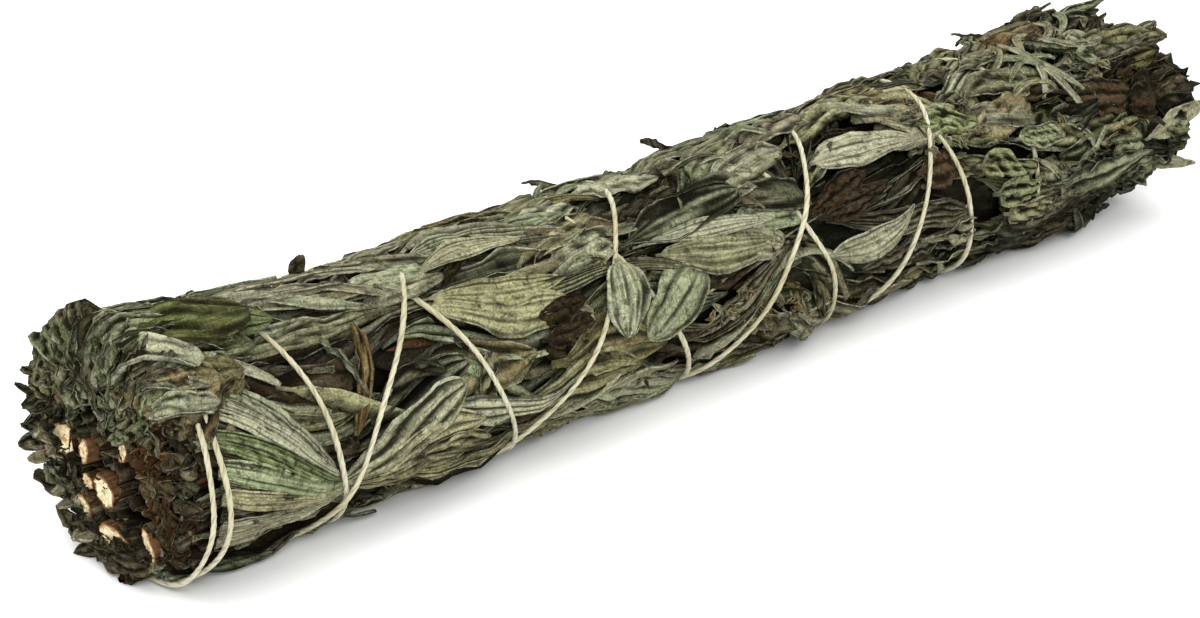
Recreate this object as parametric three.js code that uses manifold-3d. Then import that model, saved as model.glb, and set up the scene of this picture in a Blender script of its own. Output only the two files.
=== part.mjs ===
// A black sage smudge stick: leafy dried sprigs laid side by side, cut level at one end, and bound
// with one cotton string that winds up to the leaf tips and back down to the cut stems.
//
// Millimetres. +X runs from the cut stems to the leaf tips, +Z is up, and the stick lies on Z = 0.
// Places on the bundle are given as x and an angle round its axis: 0 is the top, 90 is the -Y side
// and 180 is the underside.
import * as THREE from "three";
import { mergeVertices } from "three/addons/utils/BufferGeometryUtils.js";
import Module from "manifold-3d";

const wasm = await Module();
wasm.setup();

// ---- Driving dimensions ----
const LENGTH = 220; // cut stems to the furthest leaf tips
const GAP = 0.3; // between neighbouring pieces
const TWIST = 12; // degrees that the sprigs turn round the axis over LENGTH

const BODY_RADIUS = 15.5; // pressed foliage along the middle, under the outer leaves
const CUT_END_SWELLING = { rise: 2.6, from: -40, to: -110 }; // the stems are thickest here
const TIP_END_SWELLING = { rise: 0.9, from: 50, to: 110 }; // the leaf tips spring apart a little
const LUMPS = { rise: 0.45, waves: 3, length: 74 }; // unevenness of the pressed foliage

const OUTER_SPRIGS = 10; // round the heart, one wedge of foliage each
const HEART_RADIUS = 8; // the foliage round the heart stems
const FOLIAGE_START = { x: -108, slant: 0.5, spread: 0.5 }; // later at the -Y side
const FOLIAGE_END = { x: 104.5, slant: 5, spread: 3 }; // furthest at the -Y side
const TIP_CLOSING = { length: 18, thickness: 0.3, width: 0.55 }; // shares kept at a sprig's very tip

const STEM_START = { x: -107.8, spread: 1.4, slant: 1.2 }; // later at the -Y side
const STEM_END = { x: 62, spread: 26 };
// Each stem at the cut: its angle, its distance from the axis and its radius.
const OUTER_STEMS = [
  [18, 13.4, 2.2],
  [52, 13.8, 1.9],
  [90, 13.2, 2.3],
  [127, 14, 2],
  [160, 13.2, 2.3],
  [196, 14.2, 2.6],
  [226, 14.8, 1.9],
  [266, 14, 2.7],
  [303, 13.5, 2.1],
  [341, 13.8, 2],
];
const HEART_STEMS = [
  [25, 1.6, 1.8],
  [213, 7.5, 2.5],
  [264, 7.4, 1.7],
  [236, 11.1, 1.3],
  [152, 7.2, 1.9],
  [88, 6.4, 1.8],
  [325, 6.2, 1.9],
  [25, 7.4, 1.5],
];
const SPLAY = { share: 0.12, length: 12 }; // the stems spread by this share of that distance at the cut
const STEM_TIP_SHARE = 0.45; // a stem's radius at its inner end, as a share of that at the cut
const STEM_UNEVENNESS = { cutSlope: 0.22, wander: 0.3, bends: 7 };

const UNDERSIDE = { angle: 180, halfWidth: 36 }; // the sprigs that the stick lies on
const UNDERSIDE_RISE = 2.6; // their foliage stands this far out, level with the outer leaves
const UNDERSIDE_PRESS = 1.6; // how far its own weight has flattened them

const LEAF = { length: 60, width: 11.2, thickness: 1.2, clearance: 0.4, lean: 2 };
const LEAF_ROWS = 4;
const LEAF_ROW_PITCH = 50;
const LEAVES_ROUND = 6; // in an even row, and one fewer in an odd row, which is staggered
const LEAF_SPACING = 42.7; // degrees between neighbours of a row

const STRING = { diameter: 1, sides: 6, degreesPerStep: 18 };
const FIRST_WRAP = { from: -106.9, to: -106.5, angle: 240, halfTurns: 2 }; // round the cut end
const TIP_WRAP = { from: 66, to: 64.5, angle: 20, halfTurns: 1 };
const LAST_WRAP = { from: -104.7, to: -105.1, angle: 300, halfTurns: 2 }; // next to the first one
// Places [x, angle] that the string passes on its way up and on its way back. The two ways cross
// by turns near the top and low on the -Y side, where they draw the leaves together.
const WAY_UP = [
  [-91.5, 8],
  [-86, 47],
  [-84.2, 80],
  [-82, 112],
  [-63, 28],
  [-55.5, 65],
  [-52.5, 97],
  [-48.5, 126],
  [-26.5, 42],
  [-10, 146],
  [10.5, 61],
  [15.8, 92],
  [22.5, 160],
  [46, 42],
];
const WAY_BACK = [
  [48, 6],
  [45, 42],
  [37.5, 74],
  [30.5, 126],
  [22.5, 160],
  [21.8, 12],
  [10.5, 61],
  [2.6, 93],
  [-10, 146],
  [-17, 0],
  [-26.5, 42],
  [-36.5, 98],
  [-48.5, 126],
  [-59.5, 6],
  [-68, 48],
  [-79, 90],
  [-82, 112],
];
const CROSSING = { near: 3, far: 7 }; // distances at which the upper turn is fully raised, or not
const UNDER_STRING = 0.35; // least height of the string over the surface that the stick lies on
const SINK_BLEND = 14; // degrees beside the underside over which the string leaves its groove

const HALF = LENGTH / 2;
const RAD = Math.PI / 180;
const OUTER_WEDGE = 360 / OUTER_SPRIGS;
const LEAF_TOP = LEAF.clearance + LEAF.thickness; // outer leaves' height over the foliage

// ---- The bundle's form ----

// A steady number from -1 to 1 for the i-th piece, so that no two pieces are quite alike.
function vary(i, salt) {
  return 2 * THREE.MathUtils.euclideanModulo(Math.sin(i * 12.99 + salt * 78.23) * 43758.5, 1) - 1;
}

// How far the sprigs have turned round the axis at x, in degrees.
const twistAt = (x) => (TWIST * x) / LENGTH;

function swelling(x, { rise, from, to }) {
  const share = THREE.MathUtils.clamp((x - from) / (to - from), 0, 1);
  return rise * share * share;
}

// Radius of the pressed foliage without its lumps.
const bodyRadius = (x) => BODY_RADIUS + swelling(x, CUT_END_SWELLING) + swelling(x, TIP_END_SWELLING);

// Height of the axis, so that the flattened underside lies on Z = 0 all along.
const axisHeight = (x) => bodyRadius(x) + UNDERSIDE_RISE - UNDERSIDE_PRESS;

function foliageRadius(x, angle) {
  const lumps = LUMPS.rise * Math.sin(LUMPS.waves * angle * RAD + (2 * Math.PI * x) / LUMPS.length);
  return bodyRadius(x) + lumps;
}

// A point of the bundle from its place along and round the axis. Nothing reaches below Z = 0.
function place(x, angle, radius) {
  const y = -radius * Math.sin(angle * RAD);
  const z = axisHeight(x) + radius * Math.cos(angle * RAD);
  return new THREE.Vector3(x, y, Math.max(z, 0));
}

// ---- Solids ----

// A closed solid through rings of points, each with as many as the next, with a fan over each end.
function loft(rings) {
  const sides = rings[0].length;
  const centre = (ring) => ring.reduce((sum, p) => sum.add(p), new THREE.Vector3()).divideScalar(sides);
  const points = [...rings.flat(), centre(rings[0]), centre(rings.at(-1))];
  const startCap = points.length - 2;
  const endCap = points.length - 1;
  const lastRing = (rings.length - 1) * sides;
  const faces = [];
  for (let k = 0; k < sides; k++) {
    const next = (k + 1) % sides;
    for (let r = 0; r < lastRing; r += sides) {
      faces.push(r + k, r + next, r + sides + k, r + next, r + sides + next, r + sides + k);
    }
    faces.push(startCap, next, k, endCap, lastRing + k, lastRing + next);
  }
  return new THREE.BufferGeometry().setFromPoints(points).setIndex(faces);
}

// A geometry as a manifold-3d solid.
function toSolid(geometry) {
  const bare = geometry.clone();
  bare.deleteAttribute("normal");
  bare.deleteAttribute("uv");
  const merged = mergeVertices(bare, 1e-4);
  return new wasm.Manifold(
    new wasm.Mesh({
      numProp: 3,
      vertProperties: new Float32Array(merged.attributes.position.array),
      triVerts: new Uint32Array(merged.index.array),
    }),
  );
}

function toGeometry(solid) {
  const mesh = solid.getMesh();
  return new THREE.BufferGeometry()
    .setAttribute("position", new THREE.BufferAttribute(mesh.vertProperties, 3))
    .setIndex(new THREE.BufferAttribute(mesh.triVerts, 1));
}

function cutAway(geometry, cutters) {
  return toGeometry(cutters.reduce((rest, cutter) => rest.subtract(cutter), toSolid(geometry)));
}

// ---- Stems ----

const STEM_SIDES = 6;
const STEM_SPANS = 8;

// One woody stem: where it starts and ends, its place round the axis and how it wanders.
function stemPlan([angle, ring, radius], index) {
  return {
    angle,
    ring,
    radius,
    start: STEM_START.x + STEM_START.slant * Math.sin(angle * RAD) + STEM_START.spread * vary(index, 1),
    end: STEM_END.x + STEM_END.spread * vary(index, 2),
    cutSlope: STEM_UNEVENNESS.cutSlope * vary(index, 4),
    wander: STEM_UNEVENNESS.wander * vary(index, 5),
  };
}

// The stem's own solid, or the channel that it lies in when it is grown by a margin.
function stemSolid(plan, margin = 0) {
  const { angle, cutSlope, wander } = plan;
  const start = plan.start - 4 * margin; // clear of the slanting cut
  const end = plan.end + margin;
  const rings = [];
  for (let s = 0; s <= STEM_SPANS; s++) {
    const t = s / STEM_SPANS;
    const x = THREE.MathUtils.lerp(start, end, t);
    const drawnIn = SPLAY.share * (1 - Math.exp(-(x - start) / SPLAY.length));
    const ring = plan.ring * (1 - drawnIn) + wander * Math.sin(STEM_UNEVENNESS.bends * t);
    const middle = place(x, angle + twistAt(x), ring);
    const radius = plan.radius * THREE.MathUtils.lerp(1, STEM_TIP_SHARE, t) + margin;
    rings.push(
      Array.from({ length: STEM_SIDES }, (_, k) => {
        const turn = (2 * Math.PI * k) / STEM_SIDES;
        const rise = radius * Math.sin(turn);
        const slant = s === 0 ? cutSlope * rise : 0;
        return new THREE.Vector3(x + slant, middle.y + radius * Math.cos(turn), middle.z + rise);
      }),
    );
  }
  return loft(rings);
}

// ---- Foliage ----

const FOLIAGE_SPANS = 14;
const FOLIAGE_ARC_SPANS = 4;
const FOLIAGE_EASE = 0.3; // how much closer together the stations are towards the tip

// How far x is into the length over which a sprig's foliage closes to its tip, from 0 to 1.
const intoTip = (x, end) => THREE.MathUtils.clamp((x - end) / TIP_CLOSING.length + 1, 0, 1);

// What is left of a full measure there, down to the share that is kept at the very tip.
const tipShare = (into, kept) => Math.sqrt(1 - (1 - kept * kept) * into * into);

const isUnderside = (angle) => Math.abs(angle - UNDERSIDE.angle) < UNDERSIDE.halfWidth;

// One sprig's pressed leaves: a wedge of the ring between the heart and the outer leaves.
function sprigFoliage(index, angle) {
  const slant = FOLIAGE_START.slant * Math.sin(angle * RAD);
  const start = FOLIAGE_START.x + slant + FOLIAGE_START.spread * vary(index, 6);
  const endSlant = FOLIAGE_END.slant * Math.sin(angle * RAD);
  const end = FOLIAGE_END.x + endSlant + FOLIAGE_END.spread * vary(index, 7);
  const rise = isUnderside(angle) ? UNDERSIDE_RISE : 0;
  const inner = HEART_RADIUS + GAP;
  const rings = [];
  for (let s = 0; s <= FOLIAGE_SPANS; s++) {
    const t = s / FOLIAGE_SPANS;
    const eased = THREE.MathUtils.lerp(t, Math.sin((t * Math.PI) / 2), FOLIAGE_EASE);
    const x = THREE.MathUtils.lerp(start, end, eased);
    const into = intoTip(x, end);
    const halfArc = (OUTER_WEDGE / 2) * tipShare(into, TIP_CLOSING.width);
    const across = (k) => halfArc * ((2 * k) / FOLIAGE_ARC_SPANS - 1);
    const inset = (k) => (k === 0 ? GAP : k === FOLIAGE_ARC_SPANS ? -GAP : 0); // from the next sprig
    const at = (k, radius) => angle + twistAt(x) + across(k) + inset(k) / radius / RAD;
    const ring = [];
    for (let k = 0; k <= FOLIAGE_ARC_SPANS; k++) {
      const full = foliageRadius(x, angle + twistAt(x) + across(k)) + rise;
      const radius = inner + (full - inner) * tipShare(into, TIP_CLOSING.thickness);
      ring.push(place(x, at(k, radius), radius));
    }
    for (let k = FOLIAGE_ARC_SPANS; k >= 0; k -= 2) {
      ring.push(place(x, at(k, inner), inner));
    }
    rings.push(ring);
  }
  return loft(rings);
}

const HEART_SIDES = 14;
const HEART_STATIONS = [-100, -85, -65, -40, 60, 94, 103];

// The leaves pressed round the heart stems.
function heartFoliage() {
  return loft(
    HEART_STATIONS.map((x) => {
      const radius = HEART_RADIUS * tipShare(intoTip(x, HEART_STATIONS.at(-1)), TIP_CLOSING.thickness);
      return Array.from({ length: HEART_SIDES }, (_, k) => place(x, (360 * k) / HEART_SIDES, radius));
    }),
  );
}

// ---- Outer leaves ----

const LEAF_SPANS = 8;
const LEAF_ACROSS = 3;
const LEAF_OUTLINE = { end: 0.06, forward: 0.85, slimness: 1.15 }; // end: share of the width there
const LEAF_EDGE_THINNING = 0.6;

// Half the leaf's width at t along it: fullest before its middle, and drawn out to both ends.
function leafHalfWidth(t) {
  const { end, forward, slimness } = LEAF_OUTLINE;
  return (LEAF.width / 2) * THREE.MathUtils.lerp(end, 1, Math.sin(Math.PI * t ** forward) ** slimness);
}

// One lance-shaped leaf, lying along the bundle with its midrib raised and its edges thin.
function outerLeaf({ middleX, angle, lean }) {
  const rings = [];
  for (let s = 0; s <= LEAF_SPANS; s++) {
    const t = s / LEAF_SPANS;
    const along = (t - 0.5) * LEAF.length;
    const x = middleX + along;
    const degreesPerMm = 1 / foliageRadius(x, angle) / RAD;
    const middle = angle + twistAt(x) + along * Math.tan(lean * RAD) * degreesPerMm;
    const row = (height) =>
      Array.from({ length: LEAF_ACROSS + 1 }, (_, k) => {
        const v = (2 * k) / LEAF_ACROSS - 1;
        const at = middle + v * leafHalfWidth(t) * degreesPerMm;
        const thinned = height * (1 - LEAF_EDGE_THINNING * v * v);
        return place(x, at, foliageRadius(x, at) + LEAF.clearance + thinned);
      });
    rings.push([...row(LEAF.thickness), ...row(0).reverse()]);
  }
  return loft(rings);
}

// Where the outer leaves lie: staggered rows that leave the underside free.
function leafPlans() {
  const plans = [];
  for (let row = 0; row < LEAF_ROWS; row++) {
    const count = LEAVES_ROUND - (row % 2);
    for (let k = 0; k < count; k++) {
      plans.push({
        middleX: (row - (LEAF_ROWS - 1) / 2) * LEAF_ROW_PITCH,
        angle: (k - (count - 1) / 2) * LEAF_SPACING,
        lean: LEAF.lean * vary(plans.length, 8),
      });
    }
  }
  return plans;
}

// ---- String ----

function wraps({ from, to, angle, halfTurns }) {
  return Array.from({ length: halfTurns + 1 }, (_, i) => ({
    x: THREE.MathUtils.lerp(from, to, i / halfTurns),
    angle: angle + 180 * i,
  }));
}

// The string's way round the bundle in small steps, with the leg that each belongs to.
function stringRoute() {
  const through = (places) => places.map(([x, angle]) => ({ x, angle }));
  const there = [wraps(FIRST_WRAP), through(WAY_UP), wraps(TIP_WRAP)];
  const legs = [...there, through(WAY_BACK), wraps(LAST_WRAP)];
  const route = [{ leg: 0, ...legs[0][0] }];
  legs.forEach((halts, leg) => {
    for (const halt of halts) {
      const from = route.at(-1);
      const turn = THREE.MathUtils.euclideanModulo(halt.angle - from.angle, 360);
      const steps = Math.round(turn / STRING.degreesPerStep);
      for (let s = 1; s <= steps; s++) {
        const x = THREE.MathUtils.lerp(from.x, halt.x, s / steps);
        route.push({ leg, x, angle: from.angle + (turn * s) / steps });
      }
    }
  });
  return route;
}

// 1 where the string lies sunk in the underside's foliage, and 0 where it lies over the leaves.
function sunkShare(x, angle) {
  const round = THREE.MathUtils.euclideanModulo(angle - twistAt(x), 360);
  const away = Math.abs(round - UNDERSIDE.angle) - UNDERSIDE.halfWidth;
  return 1 - THREE.MathUtils.smoothstep(away, 0, SINK_BLEND);
}

// The distance of the string's middle from the axis, where it crosses no other turn.
function stringRadius(x, angle) {
  const stepDip = 0.25; // a straight step between two points comes this much nearer to the axis
  const over = LEAF_TOP + GAP + STRING.diameter / 2 + stepDip;
  const sunk = UNDERSIDE_RISE - GAP - STRING.diameter / 2;
  const radius = foliageRadius(x, angle) + THREE.MathUtils.lerp(over, sunk, sunkShare(x, angle));
  const drop = -Math.cos(angle * RAD);
  const lowest = axisHeight(x) - UNDER_STRING - STRING.diameter / 2;
  return drop > 0 ? Math.min(radius, lowest / drop) : radius;
}

// What to add to that where two legs cross: the later one is raised over the earlier one, but in
// the underside it is the earlier one that lies deeper.
function crossingOffsets(route) {
  const clear = STRING.diameter + GAP;
  const raises = route.map(() => 0);
  const drops = route.map(() => 0);
  route.forEach((p, i) => {
    for (let j = 0; route[j].leg < p.leg && j < i - 180 / STRING.degreesPerStep; j++) {
      const q = route[j];
      const turn = THREE.MathUtils.euclideanModulo(p.angle - q.angle + 180, 360) - 180;
      const distance = Math.hypot(p.x - q.x, turn * RAD * foliageRadius(p.x, p.angle));
      const share = 1 - THREE.MathUtils.smoothstep(distance, CROSSING.near, CROSSING.far);
      const free = 1 - sunkShare(p.x, p.angle);
      raises[i] = Math.max(raises[i], share * free * (clear + raises[j]));
      drops[j] = Math.max(drops[j], share * sunkShare(q.x, q.angle) * clear);
    }
  });
  return raises.map((raise, i) => raise - drops[i]);
}

function stringCurve() {
  const route = stringRoute();
  const offsets = crossingOffsets(route);
  return new THREE.CatmullRomCurve3(
    route.map((p, i) => place(p.x, p.angle, stringRadius(p.x, p.angle) + offsets[i])),
  );
}

function stringSolid(curve, margin = 0) {
  const section = new THREE.Shape(
    Array.from({ length: STRING.sides }, (_, k) => {
      const turn = (2 * Math.PI * k) / STRING.sides;
      const radius = STRING.diameter / 2 + margin;
      return new THREE.Vector2(radius * Math.cos(turn), radius * Math.sin(turn));
    }),
  );
  return new THREE.ExtrudeGeometry(section, { steps: curve.points.length - 1, extrudePath: curve });
}

// ---- Assembly ----

const WOOD = new THREE.MeshStandardMaterial({ color: 0x5a4028, roughness: 0.85 });
const FOLIAGE = new THREE.MeshStandardMaterial({ color: 0x3d4029, roughness: 0.95 });
const LEAVES = new THREE.MeshStandardMaterial({ color: 0x74775a, roughness: 0.9 });
const COTTON = new THREE.MeshStandardMaterial({ color: 0xd9d3b4, roughness: 0.8 });

const stick = new THREE.Group();
const bundle = new THREE.Group();
stick.add(bundle);

function addPiece(name, geometry, material) {
  const mesh = new THREE.Mesh(geometry, material);
  mesh.name = name;
  bundle.add(mesh);
}

const sprigName = (index) => "sprig_" + String(index + 1).padStart(2, "0");
const outerAngle = (index) => (index + 0.5) * OUTER_WEDGE;

const stemPlans = [...OUTER_STEMS, ...HEART_STEMS].map(stemPlan);
stemPlans.forEach((plan, i) => addPiece(sprigName(i) + "_stem", stemSolid(plan), WOOD));

const channels = stemPlans.map((plan) => toSolid(stemSolid(plan, GAP)));
const heartChannels = channels.slice(OUTER_SPRIGS);
const curve = stringCurve();
const stringGroove = toSolid(stringSolid(curve, GAP));
for (let i = 0; i < OUTER_SPRIGS; i++) {
  const cutters = [channels[i], ...heartChannels, stringGroove];
  addPiece(sprigName(i) + "_foliage", cutAway(sprigFoliage(i, outerAngle(i)), cutters), FOLIAGE);
}
addPiece("heart_foliage", cutAway(heartFoliage(), heartChannels), FOLIAGE);

const leafCounts = new Array(OUTER_SPRIGS).fill(0);
for (const plan of leafPlans()) {
  const sprig = Math.floor(THREE.MathUtils.euclideanModulo(plan.angle, 360) / OUTER_WEDGE);
  leafCounts[sprig] += 1;
  addPiece(sprigName(sprig) + "_leaf_" + leafCounts[sprig], outerLeaf(plan), LEAVES);
}

addPiece("binding_string", stringSolid(curve), COTTON);

// The origin is under the middle of the bundle, on the surface that it lies on.
const box = new THREE.Box3().setFromObject(bundle);
const middle = box.getCenter(new THREE.Vector3());
bundle.position.set(-middle.x, -middle.y, -box.min.z);

export default stick;
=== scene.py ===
"""Black sage smudge stick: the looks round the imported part.

Crinkled, curled leaves lie in layers round the stems and are pressed in where the string passes.
Lengths are millimetres in this script until a mesh is made, and degrees are round the bundle's
axis: 0 is the top, 90 is the -Y side and 180 is the underside.
"""
import math
from types import SimpleNamespace

import bpy
import numpy as np
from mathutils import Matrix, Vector


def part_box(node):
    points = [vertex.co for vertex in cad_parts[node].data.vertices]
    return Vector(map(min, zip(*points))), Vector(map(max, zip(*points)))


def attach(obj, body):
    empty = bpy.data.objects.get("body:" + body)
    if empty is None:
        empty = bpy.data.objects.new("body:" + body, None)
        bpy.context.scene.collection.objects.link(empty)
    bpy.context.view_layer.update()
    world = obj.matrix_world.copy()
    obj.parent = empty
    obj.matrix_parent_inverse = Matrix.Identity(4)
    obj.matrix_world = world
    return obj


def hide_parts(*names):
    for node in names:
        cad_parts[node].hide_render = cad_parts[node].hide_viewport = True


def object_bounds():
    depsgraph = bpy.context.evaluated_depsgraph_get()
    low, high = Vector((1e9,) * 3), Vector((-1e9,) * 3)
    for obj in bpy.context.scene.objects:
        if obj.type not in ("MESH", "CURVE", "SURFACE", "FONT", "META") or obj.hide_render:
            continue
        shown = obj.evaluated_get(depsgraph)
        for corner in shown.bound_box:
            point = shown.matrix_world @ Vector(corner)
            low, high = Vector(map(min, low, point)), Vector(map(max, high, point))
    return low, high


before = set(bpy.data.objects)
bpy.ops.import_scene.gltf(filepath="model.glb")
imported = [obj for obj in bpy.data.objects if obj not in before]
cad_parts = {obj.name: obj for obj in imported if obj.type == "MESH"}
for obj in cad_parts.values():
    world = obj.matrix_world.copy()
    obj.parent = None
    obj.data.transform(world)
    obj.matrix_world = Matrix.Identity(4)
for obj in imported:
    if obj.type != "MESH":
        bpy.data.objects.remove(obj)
cad_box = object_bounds()
rng = np.random.default_rng(11)
between = rng.uniform  # a random number between two
chance = rng.random  # a random share from 0 to 1

MM = 0.001


def spread(amount, middle=0.0):
    """A random number about the middle, seldom further off than twice the amount."""
    return rng.normal(middle, amount)


def drawn(**measures):
    """Random measures of a leaf: a pair is drawn evenly between its numbers, and a single number is
    a spread about 0."""
    return {key: between(*m) if isinstance(m, tuple) else spread(m) for key, m in measures.items()}


# ---- Camera ----

# As the photo was taken: a long lens, from the cut end's side and a little above.
AZIMUTH, ELEVATION = math.radians(-42.3), math.radians(24.64)
CAMERA_DISTANCE = 509.67
LENS, SENSOR = 100, 36
AIM = (-24.2, -7.19, 18.0)  # the point looked at: from the middle of the CAD box, and over its floor


def add_camera():
    low, high = (Vector(corner) for corner in cad_box)
    middle = (low + high) / 2
    target = Vector((middle.x + AIM[0] * MM, middle.y + AIM[1] * MM, low.z + AIM[2] * MM))
    level = math.cos(ELEVATION)
    away = Vector((math.sin(AZIMUTH) * level, -math.cos(AZIMUTH) * level, math.sin(ELEVATION)))
    data = bpy.data.cameras.new("camera")
    data.lens = LENS
    data.sensor_width = SENSOR
    camera = bpy.data.objects.new("camera", data)
    camera.location = target + away * (CAMERA_DISTANCE * MM)
    camera.rotation_euler = (-away).to_track_quat("-Z", "Y").to_euler()
    bpy.context.scene.collection.objects.link(camera)
    bpy.context.scene.camera = camera


add_camera()


# ---- The bundle's form, with the part's own measures ----

LENGTH = 220.0
HALF = LENGTH / 2
TWIST = 12.0  # degrees that the sprigs turn round the axis from end to end
BODY_RADIUS = 15.5
UNDERSIDE_LIFT = 1.0  # the axis is this much further from the surface than the body's radius
OUTER_SPRIGS = 10
WEDGE = 360.0 / OUTER_SPRIGS
HEART_ENDS = (-100.0, 103.0)  # heart_foliage's ends along the bundle
FLOOR_GAP = 0.1  # least height of a leaf over the surface that the stick lies on

heart_low, heart_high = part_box("heart_foliage")
SHIFT = (heart_low[0] / MM - HEART_ENDS[0], (heart_low[1] + heart_high[1]) / 2 / MM, 0)


def vary(i, salt):
    """The part's steady number from -1 to 1 for the i-th piece."""
    return 2 * ((math.sin(i * 12.99 + salt * 78.23) * 43758.5) % 1) - 1


def smoothstep(value, low, high):
    t = np.clip((np.asarray(value, float) - low) / (high - low), 0, 1)
    return t * t * (3 - 2 * t)


def swelling(x, rise, start, end):
    share = np.clip((np.asarray(x, float) - start) / (end - start), 0, 1)
    return rise * share * share


def body_radius(x):
    return BODY_RADIUS + swelling(x, 2.6, -40, -110) + swelling(x, 0.9, 50, 110)


def axis_height(x):
    return body_radius(x) + UNDERSIDE_LIFT


def twist_at(x):
    return TWIST * np.asarray(x, float) / LENGTH


def lump(x, angle):
    """Unevenness of the pressed leaves."""
    a = np.radians(angle)
    waves = 0.5 * np.sin(3 * a + x / 11.8) + 0.35 * np.sin(5 * a - x / 7.1)
    return waves + 0.3 * np.sin(2 * a + x / 5.3)


def to_points(x, angle, radius):
    """Places on the bundle as points."""
    a = np.radians(angle)
    x = np.asarray(x, float) + 0 * a
    return np.stack([x, -radius * np.sin(a), axis_height(x) + radius * np.cos(a)], -1)


def to_places(points):
    """Points as x, degrees round the axis and distance from it."""
    x = points[..., 0]
    across = -points[..., 1]
    up = points[..., 2] - axis_height(x)
    return x, np.degrees(np.arctan2(across, up)), np.hypot(across, up)


def outward(angle):
    a = np.radians(angle)
    return np.stack([0 * a, -np.sin(a), np.cos(a)], -1)


def turn_from(start, angle):
    """The turn from one angle to another, from -180 to 180 degrees."""
    return (angle - start + 180) % 360 - 180


def unit(vectors):
    return vectors / np.maximum(np.linalg.norm(vectors, axis=-1, keepdims=True), 1e-9)


def square_to(ahead, out):
    """The direction out, made square to the direction ahead."""
    return unit(out - ahead * np.sum(ahead * out, -1, keepdims=True))


# ---- The string's way, as in the part ----

# Places (x, angle) that the string passes on its way up and on its way back.
WAY_UP = (
    (-91.5, 8), (-86, 47), (-84.2, 80), (-82, 112), (-63, 28), (-55.5, 65), (-52.5, 97),
    (-48.5, 126), (-26.5, 42), (-10, 146), (10.5, 61), (15.8, 92), (22.5, 160), (46, 42),
)
WAY_BACK = (
    (48, 6), (45, 42), (37.5, 74), (30.5, 126), (22.5, 160), (21.8, 12), (10.5, 61), (2.6, 93), (-10, 146),
    (-17, 0), (-26.5, 42), (-36.5, 98), (-48.5, 126), (-59.5, 6), (-68, 48), (-79, 90), (-82, 112),
)
# Where the two ways cross, and draw the leaves together.
CROSSINGS = (
    (-82, 112), (-63, 28), (-48.5, 126), (-26.5, 42), (-10, 146), (10.5, 61), (22.5, 160), (46, 42),
)
FIRST_WRAP = (-106.9, -106.5, 240.0, 2)  # from x, to x, angle and half turns
TIP_WRAP = (66.0, 64.5, 20.0, 1)
LAST_WRAP = (-104.7, -105.1, 300.0, 2)
STRING_RADIUS = 0.4
STRING_HEIGHT = 1.7  # of its middle over the body's radius
STEP_DEGREES = 6.0


def wraps(first, last, angle, half_turns):
    steps = range(half_turns + 1)
    return [(first + (last - first) * i / half_turns, angle + 180.0 * i) for i in steps]


def string_route():
    """x, running angle and leg of each small step of the string."""
    legs = [wraps(*FIRST_WRAP), WAY_UP, wraps(*TIP_WRAP), WAY_BACK, wraps(*LAST_WRAP)]
    route = [(*legs[0][0], 0)]
    for leg, halts in enumerate(legs):
        for x, angle in halts:
            from_x, from_angle, _ = route[-1]
            turn = (angle - from_angle) % 360
            steps = int(round(turn / STEP_DEGREES))
            for s in range(1, steps + 1):
                route.append((from_x + (x - from_x) * s / steps, from_angle + turn * s / steps, leg))
    return np.array(route)


def smoothed(values, times):
    for _ in range(times):
        inner = (values[:-2] + 2 * values[1:-1] + values[2:]) / 4
        values = np.concatenate([values[:1], inner, values[-1:]])
    return values


route = string_route()
route[:, 0] = smoothed(route[:, 0], 10)
route[:, 1] = smoothed(route[:, 1], 6)
route[:, 0] += 0.5 * np.sin(route[:, 1] / 47) + 0.35 * np.sin(route[:, 1] / 19 + 1)

GRID_X = np.arange(-HALF - 6, HALF + 6, 0.8)
GRID_ANGLE = np.arange(-180, 180, 1.5)
FAR = 30  # beyond this distance from the string, it makes no difference


def string_distance_grid():
    """How far each place of the bundle's surface is from the string."""
    gx, ga = np.meshgrid(GRID_X, GRID_ANGLE, indexing="ij")
    best = np.full(gx.shape, float(FAR))
    mm_per_degree = math.radians(1) * (BODY_RADIUS + 1)
    for x, angle, _ in route:
        near = np.abs(GRID_X - x) < FAR
        distance = np.hypot(gx[near] - x, turn_from(angle, ga[near]) * mm_per_degree)
        best[near] = np.minimum(best[near], distance)
    return best


string_distance = string_distance_grid()


def distance_to_string(x, angle):
    fx = np.clip((x - GRID_X[0]) / (GRID_X[1] - GRID_X[0]), 0, len(GRID_X) - 1.001)
    fa = ((angle + 180) % 360) / (GRID_ANGLE[1] - GRID_ANGLE[0])
    ix, ia = fx.astype(int), fa.astype(int) % len(GRID_ANGLE)
    tx, ta = fx - ix, fa - np.floor(fa)
    ja = (ia + 1) % len(GRID_ANGLE)
    low = string_distance[ix, ia] * (1 - ta) + string_distance[ix, ja] * ta
    high = string_distance[ix + 1, ia] * (1 - ta) + string_distance[ix + 1, ja] * ta
    return low * (1 - tx) + high * tx


# ---- What holds the leaves ----

FREEDOM = 2.2  # how far leaves rise between the string's turns
DRAW = 13.0  # how far from it a crossing draws the leaves together


def soft_limit(values, limit, soft):
    """Values that pass the limit less soft are slowed down, so that none passes the limit."""
    over = np.clip(values - limit + soft, 0, 60)
    return np.where(over > 0, limit - soft * np.exp(-over / soft), values)


def off_surface(points):
    """Flattens leaves against the surface that the stick lies on."""
    points[..., 2] = -soft_limit(-points[..., 2], -FLOOR_GAP, 1.5)
    return points


def drawn_together(x, angle, radius):
    """Pulls leaves together where the string crosses itself."""
    for cx, ca in CROSSINGS:
        turn = turn_from(ca, angle)
        arc = turn * math.radians(1) * radius
        pull = 0.72 * np.exp(-(((x - cx) / DRAW) ** 2) - (arc / DRAW) ** 2)
        angle = angle - turn * pull
        x = x - 0.3 * (x - cx) * pull
    return x, angle


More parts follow.
